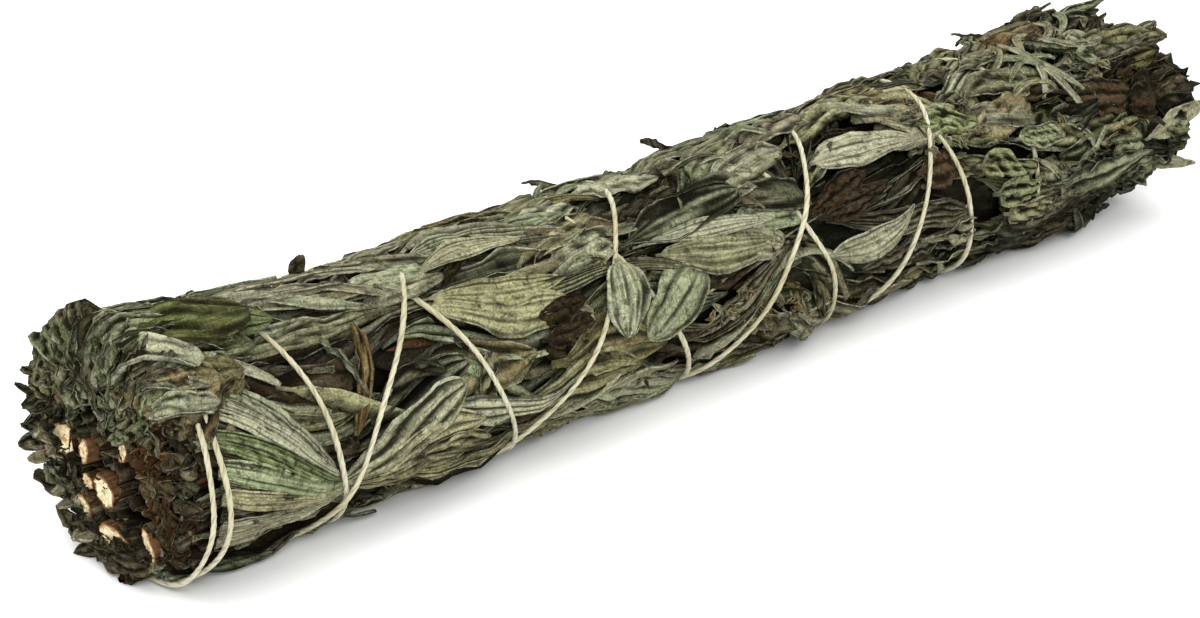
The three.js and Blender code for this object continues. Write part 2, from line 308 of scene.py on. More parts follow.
def cut_flare(x, angle):
    """How far the leaves spring out past the first turns of the string, most at the back of the top."""
    from_back = turn_from(-50, angle)
    return (0.3 + 2.6 * np.exp(-((from_back / 65) ** 2))) * smoothstep(-x, 106.5, 111)


def press(points):
    """Holds leaves under the string and off the surface, and lets them rise between its turns."""
    x, angle, radius = to_places(points)
    x, angle = drawn_together(x, angle, radius)
    distance = distance_to_string(x, angle)
    lift = FREEDOM * (1 - np.exp(-((distance / 4.0) ** 1.7))) + cut_flare(x, angle)
    under_string = body_radius(x) + STRING_HEIGHT - STRING_RADIUS - 0.1
    drop = np.maximum(-np.cos(np.radians(angle)), 0.05)
    under_string = np.minimum(under_string, (axis_height(x) - 2 * STRING_RADIUS - 0.3) / drop)
    limit = under_string + lift + lump(x, angle) * lift / FREEDOM
    return off_surface(to_points(x, angle, soft_limit(radius, limit, 1.1)))


def rein(points, reach, flare):
    """Keeps loose leaves within reach of the body, and flare further out at the cut end, and off the
    surface."""
    x, angle, radius = to_places(points)
    limit = body_radius(np.minimum(x, HALF)) + reach + flare * smoothstep(-x, 103.5, 109)
    radius = soft_limit(radius, limit, 2.0)
    return off_surface(to_points(soft_limit(x, HALF + 2, 3), angle, radius))


# ---- One leaf ----

# What a plain leaf is like. The string presses it in; "loose" keeps it within reach of the body, and
# "free" leaves it as it is. Edges roll by radians, and a tilt is in degrees. Its painted shade number
# darkens it.
PLAIN_LEAF = {
    "hold": "string", "reach": 3.6, "flare": 0.0, "depth": 0.0, "thick": 0.32, "rib": 0.25,
    "fullness": 0.75, "stalk": 0.1, "cut_off": 0.0, "ragged": 0.1, "cup": 0.0, "fold": 0.0, "tilt": 0.0,
    "roll_left": 0.0, "roll_right": 0.0, "pleats": 0.0, "pleat_count": 1.5, "flute": 0.0,
    "flute_count": 5.5, "crumple": 0.4, "crease": 9.0, "ruffle": 0.4, "ruffle_length": 9.0,
}


class Pile:
    """The closed leaves of one piece, gathered before they become a mesh."""

    def __init__(self, name):
        self.name = name
        self.points, self.quads, self.leaf, self.tone = [], [], [], []
        self.count = 0

    def add(self, points, quads, leaf, tone):
        self.points.append(points)
        self.quads.append(quads + self.count)
        self.leaf.append(leaf)
        self.tone.append(tone)
        self.count += len(points)

    def build(self, material):
        points = np.concatenate(self.points) + SHIFT
        quads = np.concatenate(self.quads)
        mesh = bpy.data.meshes.new(self.name)
        mesh.vertices.add(len(points))
        mesh.vertices.foreach_set("co", (points * MM).astype(np.float32).ravel())
        mesh.loops.add(quads.size)
        mesh.loops.foreach_set("vertex_index", quads.astype(np.int32).ravel())
        mesh.polygons.add(len(quads))
        mesh.polygons.foreach_set("loop_start", np.arange(0, quads.size, 4, dtype=np.int32))
        mesh.update(calc_edges=True)
        colours = {"leaf": np.concatenate(self.leaf), "tone": np.concatenate(self.tone)}
        return finished(self.name, mesh, material, colours)


def finished(name, mesh, material, colours):
    """A smooth piece in the scene, with its points' numbers for the material."""
    mesh.polygons.foreach_set("use_smooth", np.ones(len(mesh.polygons), bool))
    for key, values in colours.items():
        layer = mesh.attributes.new(key, "FLOAT_COLOR", "POINT")
        layer.data.foreach_set("color", np.asarray(values, np.float32).ravel())
    mesh.materials.append(material)
    piece = bpy.data.objects.new(name, mesh)
    bpy.context.scene.collection.objects.link(piece)
    return piece


def grid_quads(rows, columns):
    """Faces of a closed sheet: an upper grid, a lower one and the wall round their edge."""
    index = np.arange(rows * columns).reshape(rows, columns)
    corners = [index[:-1, :-1], index[:-1, 1:], index[1:, 1:], index[1:, :-1]]
    upper = np.stack(corners, -1).reshape(-1, 4)
    lower = upper[:, ::-1] + rows * columns
    ring = np.concatenate([index[0, :-1], index[:-1, -1], index[-1, :0:-1], index[:0:-1, 0]])
    after = np.roll(ring, -1)
    wall = np.stack([after, ring, ring + rows * columns, after + rows * columns], -1)
    return np.concatenate([upper, lower, wall])


def creases(u, s, size, amplitude, sharp):
    """Height of random creases over a leaf, u and s being millimetres along and across it."""
    total = np.zeros_like(u)
    for _ in range(4):
        heading = between(0, np.pi)
        wave = size * between(0.6, 1.6)
        phase = between(0, 2 * np.pi)
        value = np.sin((u * math.cos(heading) + s * math.sin(heading)) * 2 * np.pi / wave + phase)
        total += (1 - sharp) * value + sharp * (1 - 2 * np.abs(value))
    return total * amplitude / 2.2


def half_width(f, t, v, length, width):
    """Half of a leaf's width along it: a narrow stalk, then the blade, with ragged edges. Cut_off is
    the share that is missing at its start."""
    along = f.cut_off + (1 - f.cut_off) * t
    blade = np.sin(np.pi * np.clip((along - f.stalk) / (1 - f.stalk), 0, 1) ** 0.85) ** f.fullness
    half = width / 2 * np.maximum(blade, 0.05 + 0.05 * (along < f.stalk))
    left, right = (1 + f.ragged * creases(t * length, 0 * t, 7, 1, 0.4) for _ in range(2))
    return np.maximum(half * np.where(v < 0, left, right), 0.25)


def bent(f, t, v, half, length):
    """How far a leaf's surface lies beside its midrib and over it: cupped, folded, pleated, rolled at
    the edges, tilted and crinkled."""
    grow = 1 + 0 * t if f.cut_off else smoothstep(t, 0, 0.25)
    roll = np.where(v < 0, f.roll_left, f.roll_right) * (1 + 0.35 * np.sin(7 * t + f.seed))
    pleats = f.pleats * np.cos(2 * np.pi * f.pleat_count * v + 0.8 * np.sin(t * 5 + f.seed) + f.seed)
    bend = half * f.cup * v + roll * np.sign(v) * np.abs(v) ** 3 + f.fold * np.tanh(4 * v) + pleats
    bend = bend * grow
    steps = np.diff(half * v, axis=1)
    middle = (bend[:, 1:] + bend[:, :-1]) / 2
    across = np.concatenate([0 * t, np.cumsum(np.cos(middle) * steps, 1)], 1)
    rise = np.concatenate([0 * t, np.cumsum(np.sin(middle) * steps, 1)], 1)
    centre = v.shape[1] // 2
    across -= across[:, centre : centre + 1]
    rise -= rise[:, centre : centre + 1]
    cos, sin = np.cos(math.radians(f.tilt) * grow), np.sin(math.radians(f.tilt) * grow)
    across, rise = across * cos - rise * sin, across * sin + rise * cos
    u = t * length + 0 * v
    flutes = f.flute * np.sin(np.pi * f.flute_count * v + f.seed + 1.5 * np.sin(3 * t))
    rise = rise + (flutes + creases(u, half * v, f.crease, f.crumple, 0.5)) * grow
    ruffle = f.ruffle * np.sin(u * 2 * np.pi / f.ruffle_length + f.seed + 2.2 * (v > 0))
    return across, rise + ruffle * np.abs(v) ** 2 * np.minimum(half / 3, 1)


def both_sides(f, t, v, half, body):
    """The upper and the lower side of a leaf: thinner at the edges, with the midrib under it."""
    facing = unit(np.cross(np.gradient(body, axis=1), np.gradient(body, axis=0)))
    thick = f.thick * (1 - 0.45 * np.abs(v) ** 3) + 0 * t
    rib = f.rib * np.exp(-((half * v / 0.7) ** 2)) * (1 - 0.7 * t)
    upper = body + facing * thick[..., None] / 2
    lower = body - facing * (thick / 2 + rib)[..., None]
    both = np.concatenate([upper.reshape(-1, 3), lower.reshape(-1, 3)])
    both[:, 2] = np.maximum(both[:, 2], FLOOR_GAP / 2)
    return both


def relief(rise):
    """Ridges (up to 1) and valleys (down to -1) of a leaf's heights."""
    padded = np.pad(rise, ((0, 0), (2, 2)), mode="edge")
    level = sum(w * padded[:, k : k + rise.shape[1]] for k, w in enumerate((1, 2, 3, 2, 1))) / 9
    return np.clip((rise - level) / 0.16, -1, 1)


def sunk(points):
    """How deep among the other leaves points lie, from 0 to 1, away from the bundle's two ends; it sets
    their painted shade.
    """
    x, _, radius = to_places(points)
    height = radius - body_radius(np.clip(x, -HALF, HALF))
    return (1 - smoothstep(height, -3.8, 1.0)) * (1 - smoothstep(x, 84, 100)) * smoothstep(x, -108, -102)


def painted_shade_under_tips(points):
    """How far points lie in the strip of painted shade low on the -Y side, under the leaf tips."""
    x, angle, _ = to_places(points)
    along = smoothstep(x, 48, 60) * (1 - smoothstep(x, 88, 98))
    return along * smoothstep(angle, 98, 116) * (1 - smoothstep(angle, 160, 180))


def leaf_tones(f, shade, rise, both):
    """How brown, light, green and how deep in painted shade each point is: ridges get a painted highlight,
    and valleys, what lies among other leaves and the strip under the tips get painted shade.
    """
    brown, light, green, _ = shade
    ridge = relief(rise).ravel()
    ridges = np.concatenate([ridge, -ridge])
    # painted shade: the leaf's own, among other leaves, in the valleys and under the tips
    out_of_painted_shade = (1 - f.depth) * (1 - 0.9 * sunk(both)) * (1 - 0.85 * np.clip(-ridges, 0, 1))
    out_of_painted_shade *= 1 - 0.65 * painted_shade_under_tips(both)
    # painted highlight on the ridges, painted shade in the valleys
    light = np.clip(light + 0.5 * ridges * (1 - 0.7 * brown), 0, 1)
    flat = np.ones(len(both))
    return np.stack([flat * brown, light, flat * green, 1 - out_of_painted_shade], -1)


def leaf_places(t, v, own):
    """Each point's share along and across its leaf, the leaf's number, and 1 on its upper side."""
    upper = np.stack([part.ravel() for part in np.broadcast_arrays(t, v * 0.5 + 0.5, own, 1.0)], -1)
    return np.concatenate([upper, upper * (1, 1, 1, 0)])


def skin(line, length, width, rows, columns, shade, **form):
    """A leaf's closed skin along its midrib: line is (points, directions, outward normals)."""
    f = SimpleNamespace(**{**PLAIN_LEAF, **form})
    points, ahead, normal = line
    t = np.linspace(0, 1, rows)[:, None]
    v = np.linspace(-1, 1, columns)[None, :]
    half = half_width(f, t, v, length, width)
    across, rise = bent(f, t, v, half, length)
    side = unit(np.cross(ahead, normal))
    body = points[:, None] + side[:, None] * across[..., None] + normal[:, None] * rise[..., None]
    if f.hold == "string":
        body = press(body)
    elif f.hold == "loose":
        body = rein(body, f.reach, f.flare)
    both = both_sides(f, t, v, half, body)
    return both, grid_quads(rows, columns), leaf_places(t, v, shade[3]), leaf_tones(f, shade, rise, both)


def lying_line(x0, angle0, length, lean, bend, heights, rows):
    """A midrib that lies along the bundle's surface at changing heights over the body's radius."""
    t = np.linspace(0, 1, rows)
    heading = np.radians(lean + bend * (t - 0.5))
    step = length / (rows - 1)
    x = x0 + np.concatenate([[0], np.cumsum(np.cos(heading[1:]) * step)])
    arc = np.concatenate([[0], np.cumsum(np.sin(heading[1:]) * step)])
    angle = angle0 + twist_at(x) - twist_at(x0) + np.degrees(arc / (BODY_RADIUS + 1))
    height = np.interp(t, np.linspace(0, 1, len(heights)), heights)
    points = to_points(x, angle, body_radius(x) + height + lump(x, angle))
    ahead = unit(np.gradient(points, axis=0))
    return points, ahead, square_to(ahead, outward(angle))


def free_line(start, ahead, normal, length, rows, lift, swerve):
    """A midrib that leaves the bundle: lift turns it away from the axis and swerve turns it sideways,
    both as [share along it, degrees] pairs."""
    shares = np.linspace(0, 1, rows)
    pitch, yaw = (np.radians(np.interp(shares, *zip(*turns)))[:, None] for turns in (lift, swerve))
    ahead, up = unit(ahead), unit(normal)
    flat = ahead * np.cos(yaw) + np.cross(ahead, up) * np.sin(yaw)
    ways = flat * np.cos(pitch) + up * np.sin(pitch)
    normals = up * np.cos(pitch) - flat * np.sin(pitch)
    ways[0], normals[0] = ahead, up
    steps = ways * length / (rows - 1)
    steps[0] = start
    return np.cumsum(steps, axis=0), ways, normals


def leaf_shade(x, depth=0.0):
    """A leaf's tone: how brown, how light and how green it is, and its own random number. Painted shade
    makes it less light.
    """
    further = smoothstep(x, -60, 40)
    light = rng.choice((0.85, 0.5, 0.2), p=(0.44, 0.33, 0.23)) + spread(0.1)
    light -= 0.12 * further + 0.2 * depth
    brown = max(0.0, spread(0.18, 0.08)) + 0.12 * further
    green = spread(0.25, 0.3)
    return [float(np.clip(c, 0.02, 1)) for c in (brown, light, green, chance())]


def brown_shade(lightest=0.45):
    """A crushed, browned leaf's tone."""
    return [between(0.35, 0.95), between(0.0, lightest), 0.2, chance()]


piles = [Pile(f"sprig_{i + 1:02d}_leaves") for i in range(OUTER_SPRIGS)]
heart_pile = Pile("heart_leaves")


def pile_at(x, angle):
    return piles[int(((angle - float(twist_at(x))) % 360) // WEDGE) % OUTER_SPRIGS]


def lay_leaf(
    x0, angle, length, width, lean, heights, rows=22, columns=9, bend=None, pile=None, shade=None, **form
):
    """Adds a leaf that lies along the bundle from x0."""
    shade = shade or leaf_shade(x0 + length / 2, form.get("depth", 0.0))
    usual_bend = spread(9)
    bend = usual_bend if bend is None else bend
    line = lying_line(x0, angle, length, lean, bend, heights, rows)
    form = {"cup": -1 / (BODY_RADIUS + 2), "seed": between(0, 6), **form}
    pile = pile or pile_at(x0, angle)
    pile.add(*skin(line, length, width, rows, columns, shade, **form))


def grow_leaf(
    x0, angle, radius, tilt, turn, length, width, lift, swerve, rows=20, columns=9, spin=0.0, shade=None,
    **form
):
    """Adds a leaf that springs free of the bundle: tilt is its first direction's angle away from the
    axis, turn that round it and spin its own, in degrees."""
    shade = shade or leaf_shade(x0 + length / 2, form.get("depth", 0.0))
    start = to_points(np.array(x0), np.array(angle), radius)
    out = outward(np.array(angle))
    side = np.cross([1.0, 0, 0], out)
    a, b, c = math.radians(tilt), math.radians(turn), math.radians(spin)
    flat = np.array([math.cos(b), 0, 0]) + side * math.sin(b)
    ahead = flat * math.cos(a) + out * math.sin(a)
    normal = out * math.cos(a) - flat * math.sin(a)
    normal = normal * math.cos(c) + np.cross(ahead, normal) * math.sin(c)
    line = free_line(start, ahead, normal, length, rows, lift, swerve)
    form = {"seed": between(0, 6), "hold": "loose", **form}
    pile_at(x0, angle).add(*skin(line, length, width, rows, columns, shade, **form))


# ---- Materials ----


def linear(colour):
    """A colour written as 0 to 255 sRGB, for a shader."""
    shares = (c / 255 for c in colour)
    return tuple(c / 12.92 if c <= 0.04045 else ((c + 0.055) / 1.055) ** 2.4 for c in shares)


class Nodes:
    """Short ways to add nodes to a material or world. Colours are written as 0 to 255 sRGB."""

    def __init__(self, owner):
        owner.use_nodes = True
        self.owner = owner
        self.tree = owner.node_tree
        self.tree.nodes.clear()

    def add(self, kind, **settings):
        node = self.tree.nodes.new("ShaderNode" + kind)
        for key, value in settings.items():
            setattr(node, key, value)
        return node

    def link(self, source, target):
        if isinstance(source, (int, float)):
            target.default_value = source
        elif isinstance(source, tuple):
            target.default_value = (*linear(source), 1.0)
        else:
            self.tree.links.new(source, target)

    def math(self, operation, *values, clamp=False):
        node = self.add("Math", operation=operation, use_clamp=clamp)
        for socket, value in zip(node.inputs, values):
            self.link(value, socket)
        return node.outputs[0]

    def times(self, first, second):
        return self.math("MULTIPLY", first, second)

    def step(self, value, low, high, to_low=0.0, to_high=1.0):
        node = self.add("MapRange", interpolation_type="SMOOTHSTEP")
        for socket, number in zip(node.inputs, (value, low, high, to_low, to_high)):
            self.link(number, socket)
        return node.outputs[0]

    def mix(self, share, first, second, blend="MIX"):
        node = self.add("Mix", data_type="RGBA", blend_type=blend)
        for socket, source in (("Factor", share), (6, first), (7, second)):
            self.link(source, node.inputs[socket])
        return node.outputs[2]

    def noise(self, vector, scale, detail=3.0, roughness=0.6):
        node = self.add("TexNoise")
        self.link(vector, node.inputs["Vector"])
        for key, value in (("Scale", scale), ("Detail", detail), ("Roughness", roughness)):
            node.inputs[key].default_value = value
        return node.outputs["Fac"]

    def attribute(self, name):
        """The four numbers that a piece's points carry under this name."""
        node = self.add("Attribute", attribute_name=name)
        parts = self.add("SeparateColor")
        self.link(node.outputs["Color"], parts.inputs[0])
        return *parts.outputs, node.outputs["Alpha"]

    def place(self):
        return self.add("TexCoord").outputs["Object"]

    def surface(self, colour, roughness, specular, bump=None, sheen=0.0):
        """Ends a material. A bump is its height, strength and distance."""
        shader = self.add("BsdfPrincipled")
        self.link(colour, shader.inputs["Base Color"])
        self.link(roughness, shader.inputs["Roughness"])
        shader.inputs["Specular IOR Level"].default_value = specular
        shader.inputs["Sheen Weight"].default_value = sheen
        if bump:
            node = self.add("Bump")
            for key, value in zip(("Height", "Strength", "Distance"), bump):
                self.link(value, node.inputs[key])
            self.link(node.outputs[0], shader.inputs["Normal"])
        self.link(shader.outputs[0], self.add("OutputMaterial").inputs["Surface"])
        return self.owner


def leaf_veins(n, t, across):
    """A midrib, and side veins that slant away from it."""
    midrib = n.step(across, 0.09, 0.02)
    slant = n.math("MULTIPLY_ADD", across, -1.1, n.times(t, 9.0))
    wave = n.math("ABSOLUTE", n.math("SUBTRACT", n.math("FRACT", slant), 0.5))
    side_veins = n.times(n.step(wave, 0.13, 0.02), n.step(across, 1.0, 0.7))
    return n.math("MAXIMUM", n.times(midrib, 0.7), n.times(side_veins, 0.25))


def leaf_stripes(n, t, v, own):
    """Streaks along a leaf."""
    at = n.add("CombineXYZ")
    for socket, value, scale in zip(at.inputs, (t, v, own), (2.5, 24.0, 40.0)):
        n.link(n.times(value, scale), socket)
    return n.noise(at.outputs[0], 1.0, 4.0)


def leaf_net(n, place):
    """The fine net of a sage leaf's pebbled skin."""
    pebbles = n.add("TexVoronoi", feature="DISTANCE_TO_EDGE")
    n.link(place, pebbles.inputs["Vector"])
    pebbles.inputs["Scale"].default_value = 900.0
    return n.step(pebbles.outputs["Distance"], 0.12, 0.0)


def leaf_ground(n, upper, brown, light, green, stain):
    """A leaf's main colour: grey-green or fresh above, paler below, and brown where it has died."""
    grey = n.mix(light, (14, 14, 5), (190, 190, 158))
    fresh = n.mix(light, (16, 22, 4), (122, 136, 74))
    below = n.mix(light, (70, 71, 48), (184, 184, 158))
    colour = n.mix(n.step(upper, 0.2, 0.8), below, n.mix(n.times(green, 0.7), grey, fresh))
    umber = n.mix(light, (20, 14, 9), (112, 86, 62))
    rust = n.mix(light, (30, 15, 6), (158, 102, 50))
    dead = n.mix(n.step(green, 0.4, 0.9), umber, rust)
    return n.mix(n.math("ADD", brown, n.times(stain, brown), clamp=True), colour, dead)


def leaf_hues(n, own, colour):
    """Some leaves are yellower, rosier or mintier than the others."""
    hue = n.math("FRACT", n.times(own, 7.0))
    colour = n.mix(n.step(hue, 0.8, 0.9, 0.0, 0.4), colour, (255, 240, 190), "MULTIPLY")
    colour = n.mix(n.step(hue, 0.1, 0.2, 0.5, 0.0), colour, (255, 242, 236), "MULTIPLY")
    minty = n.times(n.step(hue, 0.4, 0.45), n.step(hue, 0.6, 0.65, 0.35, 0.0))
    return n.mix(minty, colour, (226, 255, 226), "MULTIPLY")


def leaf_material():
    """Dried sage: felted and finely netted, with veins, streaks, stains, worn places, creases with painted
    shade and a pale rim that is partly a painted highlight; painted shade darkens points towards black.
    """
    n = Nodes(bpy.data.materials.new("dried_sage_leaf"))
    t, v, own, upper = n.attribute("leaf")
    brown, light, green, depth = n.attribute("tone")
    place = n.place()
    across = n.math("ABSOLUTE", n.math("MULTIPLY_ADD", v, 2.0, -1.0))
    veins = leaf_veins(n, t, across)
    stripes = leaf_stripes(n, t, v, own)
    net = leaf_net(n, place)
    felt = n.noise(place, 2600.0, 2.0)
    mottle = n.noise(place, 620.0, 4.0, 0.7)
    wrinkles = n.noise(place, 430.0)
    crease = n.step(n.math("ABSOLUTE", n.math("SUBTRACT", wrinkles, 0.5)), 0.045, 0.0)
    stain = n.times(n.step(n.noise(place, 90.0), 0.42, 0.66), 0.55)
    alive = n.math("MULTIPLY_ADD", brown, -1.0, 1.0)
    streaked = n.times(n.math("MULTIPLY_ADD", light, -0.5, 0.85), n.step(own, 0.15, 0.6, 0.3, 1.0))
    pale = n.times(n.step(stripes, 0.47, 0.34), n.times(light, 0.5))
    # a pale felted rim, partly a painted highlight
    rim = n.times(n.step(across, 0.84, 1.0), n.times(light, n.step(mottle, 0.42, 0.6)))
    worn = n.times(n.step(mottle, 0.54, 0.7), n.times(light, 0.5))
    colour = leaf_ground(n, upper, brown, light, green, stain)
    for share, tint in (
        (n.times(stain, 0.6), (52, 48, 24)),
        (n.times(n.step(stripes, 0.5, 0.64), streaked), (26, 24, 9)),
        (n.times(pale, alive), (184, 184, 154)),
        (n.times(n.times(n.times(veins, light), alive), 0.55), (176, 177, 150)),
        (n.times(net, 0.06), (150, 152, 120)),
        (n.times(rim, 0.5), (204, 204, 178)),
        (n.times(worn, alive), (190, 190, 158)),
        (n.step(mottle, 0.47, 0.34, 0.0, 0.65), (17, 16, 6)),
        # painted shade in the creases
        (n.times(crease, 0.25), (26, 24, 10)),
        (n.step(felt, 0.35, 0.7, 0.0, 0.35), (28, 27, 14)),
    ):
        colour = n.mix(share, colour, tint)
    # painted shade: the tone's fourth number darkens a point towards near black
    colour = n.mix(n.times(depth, 0.97), leaf_hues(n, own, colour), (8, 7, 2))
    height = n.math("MULTIPLY_ADD", veins, 0.35, n.times(stripes, 0.9))
    for part, amount in ((felt, 0.25), (net, -0.2), (mottle, 1.3), (crease, -0.5)):
        height = n.math("ADD", height, n.times(part, amount))
    return n.surface(colour, n.step(felt, 0.2, 0.8, 0.78, 0.95), 0.05, bump=(height, 0.8, 0.0005))


def string_material():
    """Undyed cotton, a little stained, with painted shade between its plies."""
    n = Nodes(bpy.data.materials.new("cotton_string"))
    ply_shade, *_ = n.attribute("strand")
    place = n.place()
    fibre = n.noise(place, 5200.0, 2.0)
    colour = n.mix(n.step(n.noise(place, 70.0), 0.35, 0.68), (192, 188, 161), (166, 160, 124))
    colour = n.mix(n.step(fibre, 0.5, 0.72, 0.0, 0.35), colour, (146, 137, 106))
    colour = n.mix(n.times(ply_shade, 0.75), colour, (112, 102, 70))
    return n.surface(colour, 0.85, 0.25, bump=(fibre, 0.6, 0.0001), sheen=0.2)


def wood_material():
    """Bark along a stem, and pale wood with a pith on its cut face."""
    n = Nodes(bpy.data.materials.new("sage_wood"))
    cut, reach, own, _ = n.attribute("grain")
    place = n.place()
    stretched = n.add("Mapping")
    n.link(place, stretched.inputs["Vector"])
    stretched.inputs["Scale"].default_value = (60, 900, 900)
    fibres = n.noise(stretched.outputs[0], 1.0)
    speckle = n.noise(place, 1900.0)
    bark = n.mix(n.step(fibres, 0.35, 0.65), (30, 20, 11), (100, 70, 42))
    bark = n.mix(n.step(speckle, 0.5, 0.7), bark, (98, 78, 50))
    wood = n.mix(n.step(speckle, 0.35, 0.65), (246, 236, 204), (214, 190, 142))
    wood = n.mix(n.step(reach, 0.22, 0.1), wood, (178, 136, 84))
    wood = n.mix(n.step(reach, 0.74, 0.95), wood, (120, 80, 44))
    wood = n.mix(n.times(own, 0.35), wood, (196, 160, 108))
    height = n.math("ADD", fibres, n.times(speckle, 0.5))
    colour = n.mix(cut, bark, wood)
    return n.surface(colour, n.step(speckle, 0.3, 0.7, 0.7, 0.9), 0.15, bump=(height, 0.7, 0.0003))


LEAF = leaf_material()
COTTON = string_material()
WOOD = wood_material()


# ---- Stems ----

# Each stem at the cut, as in the part: its angle, its distance from the axis and its radius.
STEMS = [
    (18, 13.4, 2.2), (52, 13.8, 1.9), (90, 13.2, 2.3), (127, 14, 2), (160, 13.2, 2.3),
    (196, 14.2, 2.6), (226, 14.8, 1.9), (266, 14, 2.7), (303, 13.5, 2.1), (341, 13.8, 2),
    (25, 1.6, 1.8), (213, 7.5, 2.5), (264, 7.4, 1.7), (236, 11.1, 1.3),
    (152, 7.2, 1.9), (88, 6.4, 1.8), (325, 6.2, 1.9), (25, 7.4, 1.5),
]
SPLAY = (0.12, 12.0)  # the stems spread by this share of that distance at the cut, over this length
STEM_TAPER = 0.45  # a stem's radius at its inner end, as a share of that at the cut
STEM_SIDES, BARK_RINGS, CUT_RINGS = 30, 22, 7


def tube_faces(rings, sides):
    """Quads of a closed tube, and a triangle fan over each end round a middle point."""
    index = np.arange(rings * sides).reshape(rings, sides)
    after = np.roll(index, -1, axis=1)
    quads = np.stack([index[:-1], after[:-1], after[1:], index[1:]], -1).reshape(-1, 4)
    start, end = rings * sides, rings * sides + 1
    fans = [(start, int(after[0, k]), int(index[0, k])) for k in range(sides)]
    fans += [(end, int(index[-1, k]), int(after[-1, k])) for k in range(sides)]
    return quads.tolist() + fans


def make_tube(name, rings, middles, material, attribute, values):
    """A closed tube of rings of points, with its ends' middle points."""
    points = np.vstack([rings.reshape(-1, 3), middles]) + SHIFT
    mesh = bpy.data.meshes.new(name)
    mesh.from_pydata((points * MM).tolist(), [], tube_faces(*rings.shape[:2]))
    return finished(name, mesh, material, {attribute: values})


def add_stem(i):
    """A woody stem in its channel: ridged bark, and a roughly broken, slanting cut face."""
    angle, ring, radius = STEMS[i]
    start = -107.8 + 1.2 * math.sin(math.radians(angle)) + 1.4 * vary(i, 1)
    end = 62 + 26 * vary(i, 2)
    turn = np.arange(STEM_SIDES) * 2 * np.pi / STEM_SIDES
    flat = 1 + 0.16 * vary(i, 7)
    outline = 1 + 0.07 * np.cos(2 * turn + i) + 0.05 * np.cos(3 * turn + 2.1 * i)
    outline += 0.035 * np.cos(7 * turn + i) + 0.03 * np.cos(11 * turn - i)
    rings, values = [], []

    def ring_at(x, share, scale, cut, push):
        t = (x - start) / (end - start)
        drawn_in = SPLAY[0] * (1 - math.exp(-max(x - start, 0) / SPLAY[1]))
        out = ring * (1 - drawn_in) + 0.3 * vary(i, 5) * math.sin(7 * t)
        middle = to_points(np.array(x), np.array(angle + float(twist_at(x))), out)
        r = radius * (1 + (STEM_TAPER - 1) * max(t, 0)) * scale * outline
        r = r * (1 + 0.03 * np.sin(9 * turn + 0.35 * x + i) * (1 - cut))
        across, rise = r * np.cos(turn) * flat, r * np.sin(turn) / flat
        slope = 0.22 * vary(i, 4) * rise + 0.3 * vary(i, 8) * across
        rings.append(np.stack([x + share * slope + push, middle[1] + across, middle[2] + rise], -1))
        values.append(np.tile([cut, scale, 0.5 + 0.5 * vary(i, 9), 1.0], (STEM_SIDES, 1)))

    for k in range(CUT_RINGS):
        scale = 0.12 + 0.86 * k / (CUT_RINGS - 1)
        broken = 0.12 * rng.normal(size=STEM_SIDES) * (k < CUT_RINGS - 1)
        ring_at(start, 1.0, scale, 1.0, 0.16 * np.cos(5 * turn + 3 * k + i) * scale + broken)
    for k in range(BARK_RINGS):
        t = (k / (BARK_RINGS - 1)) ** 2.8
        ring_at(start + 0.12 + t * (end - start), math.exp(-t * 60), 1.0, 0.0, 0.0)
    values += [[[1, 0, 0.5, 1], [0, 0, 0.5, 1]]]
    name = f"sprig_{i + 1:02d}_stem"
    middles = [rings[0].mean(0), rings[-1].mean(0)]
    piece = make_tube(name + "_wood", np.array(rings), middles, WOOD, "grain", np.concatenate(values))
    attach(piece, "root")
    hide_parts(name)


for i in range(len(STEMS)):
    add_stem(i)


# ---- String ----

STRING_STEP = 0.7  # between its rings
STRING_SIDES = 9
PLY_LENGTH = 5.2  # of one turn of its twist


def string_points():
    """The string's middle: over the leaves, over its own earlier turns, and just off the surface
    that the stick lies on."""
    x, angle, leg = route.T
    height = body_radius(x) + STRING_HEIGHT
    drop = -np.cos(np.radians(angle))
    lowest = axis_height(x) - STRING_RADIUS - 0.35
    under = drop > 0.05
    height = np.where(under, np.minimum(height, lowest / np.maximum(drop, 0.05)), height)
    for i in range(len(route)):
        before = leg < leg[i]
        turn = turn_from(angle[i], angle[before])
        apart = np.hypot(x[before] - x[i], turn * math.radians(1) * (BODY_RADIUS + 2))
        if drop[i] < 0.5 and len(apart):
            height[i] += 1.15 * (1 - float(smoothstep(apart.min(), 1.0, 5.0)))
    return smoothed(to_points(x, angle, smoothed(height, 3)), 2)


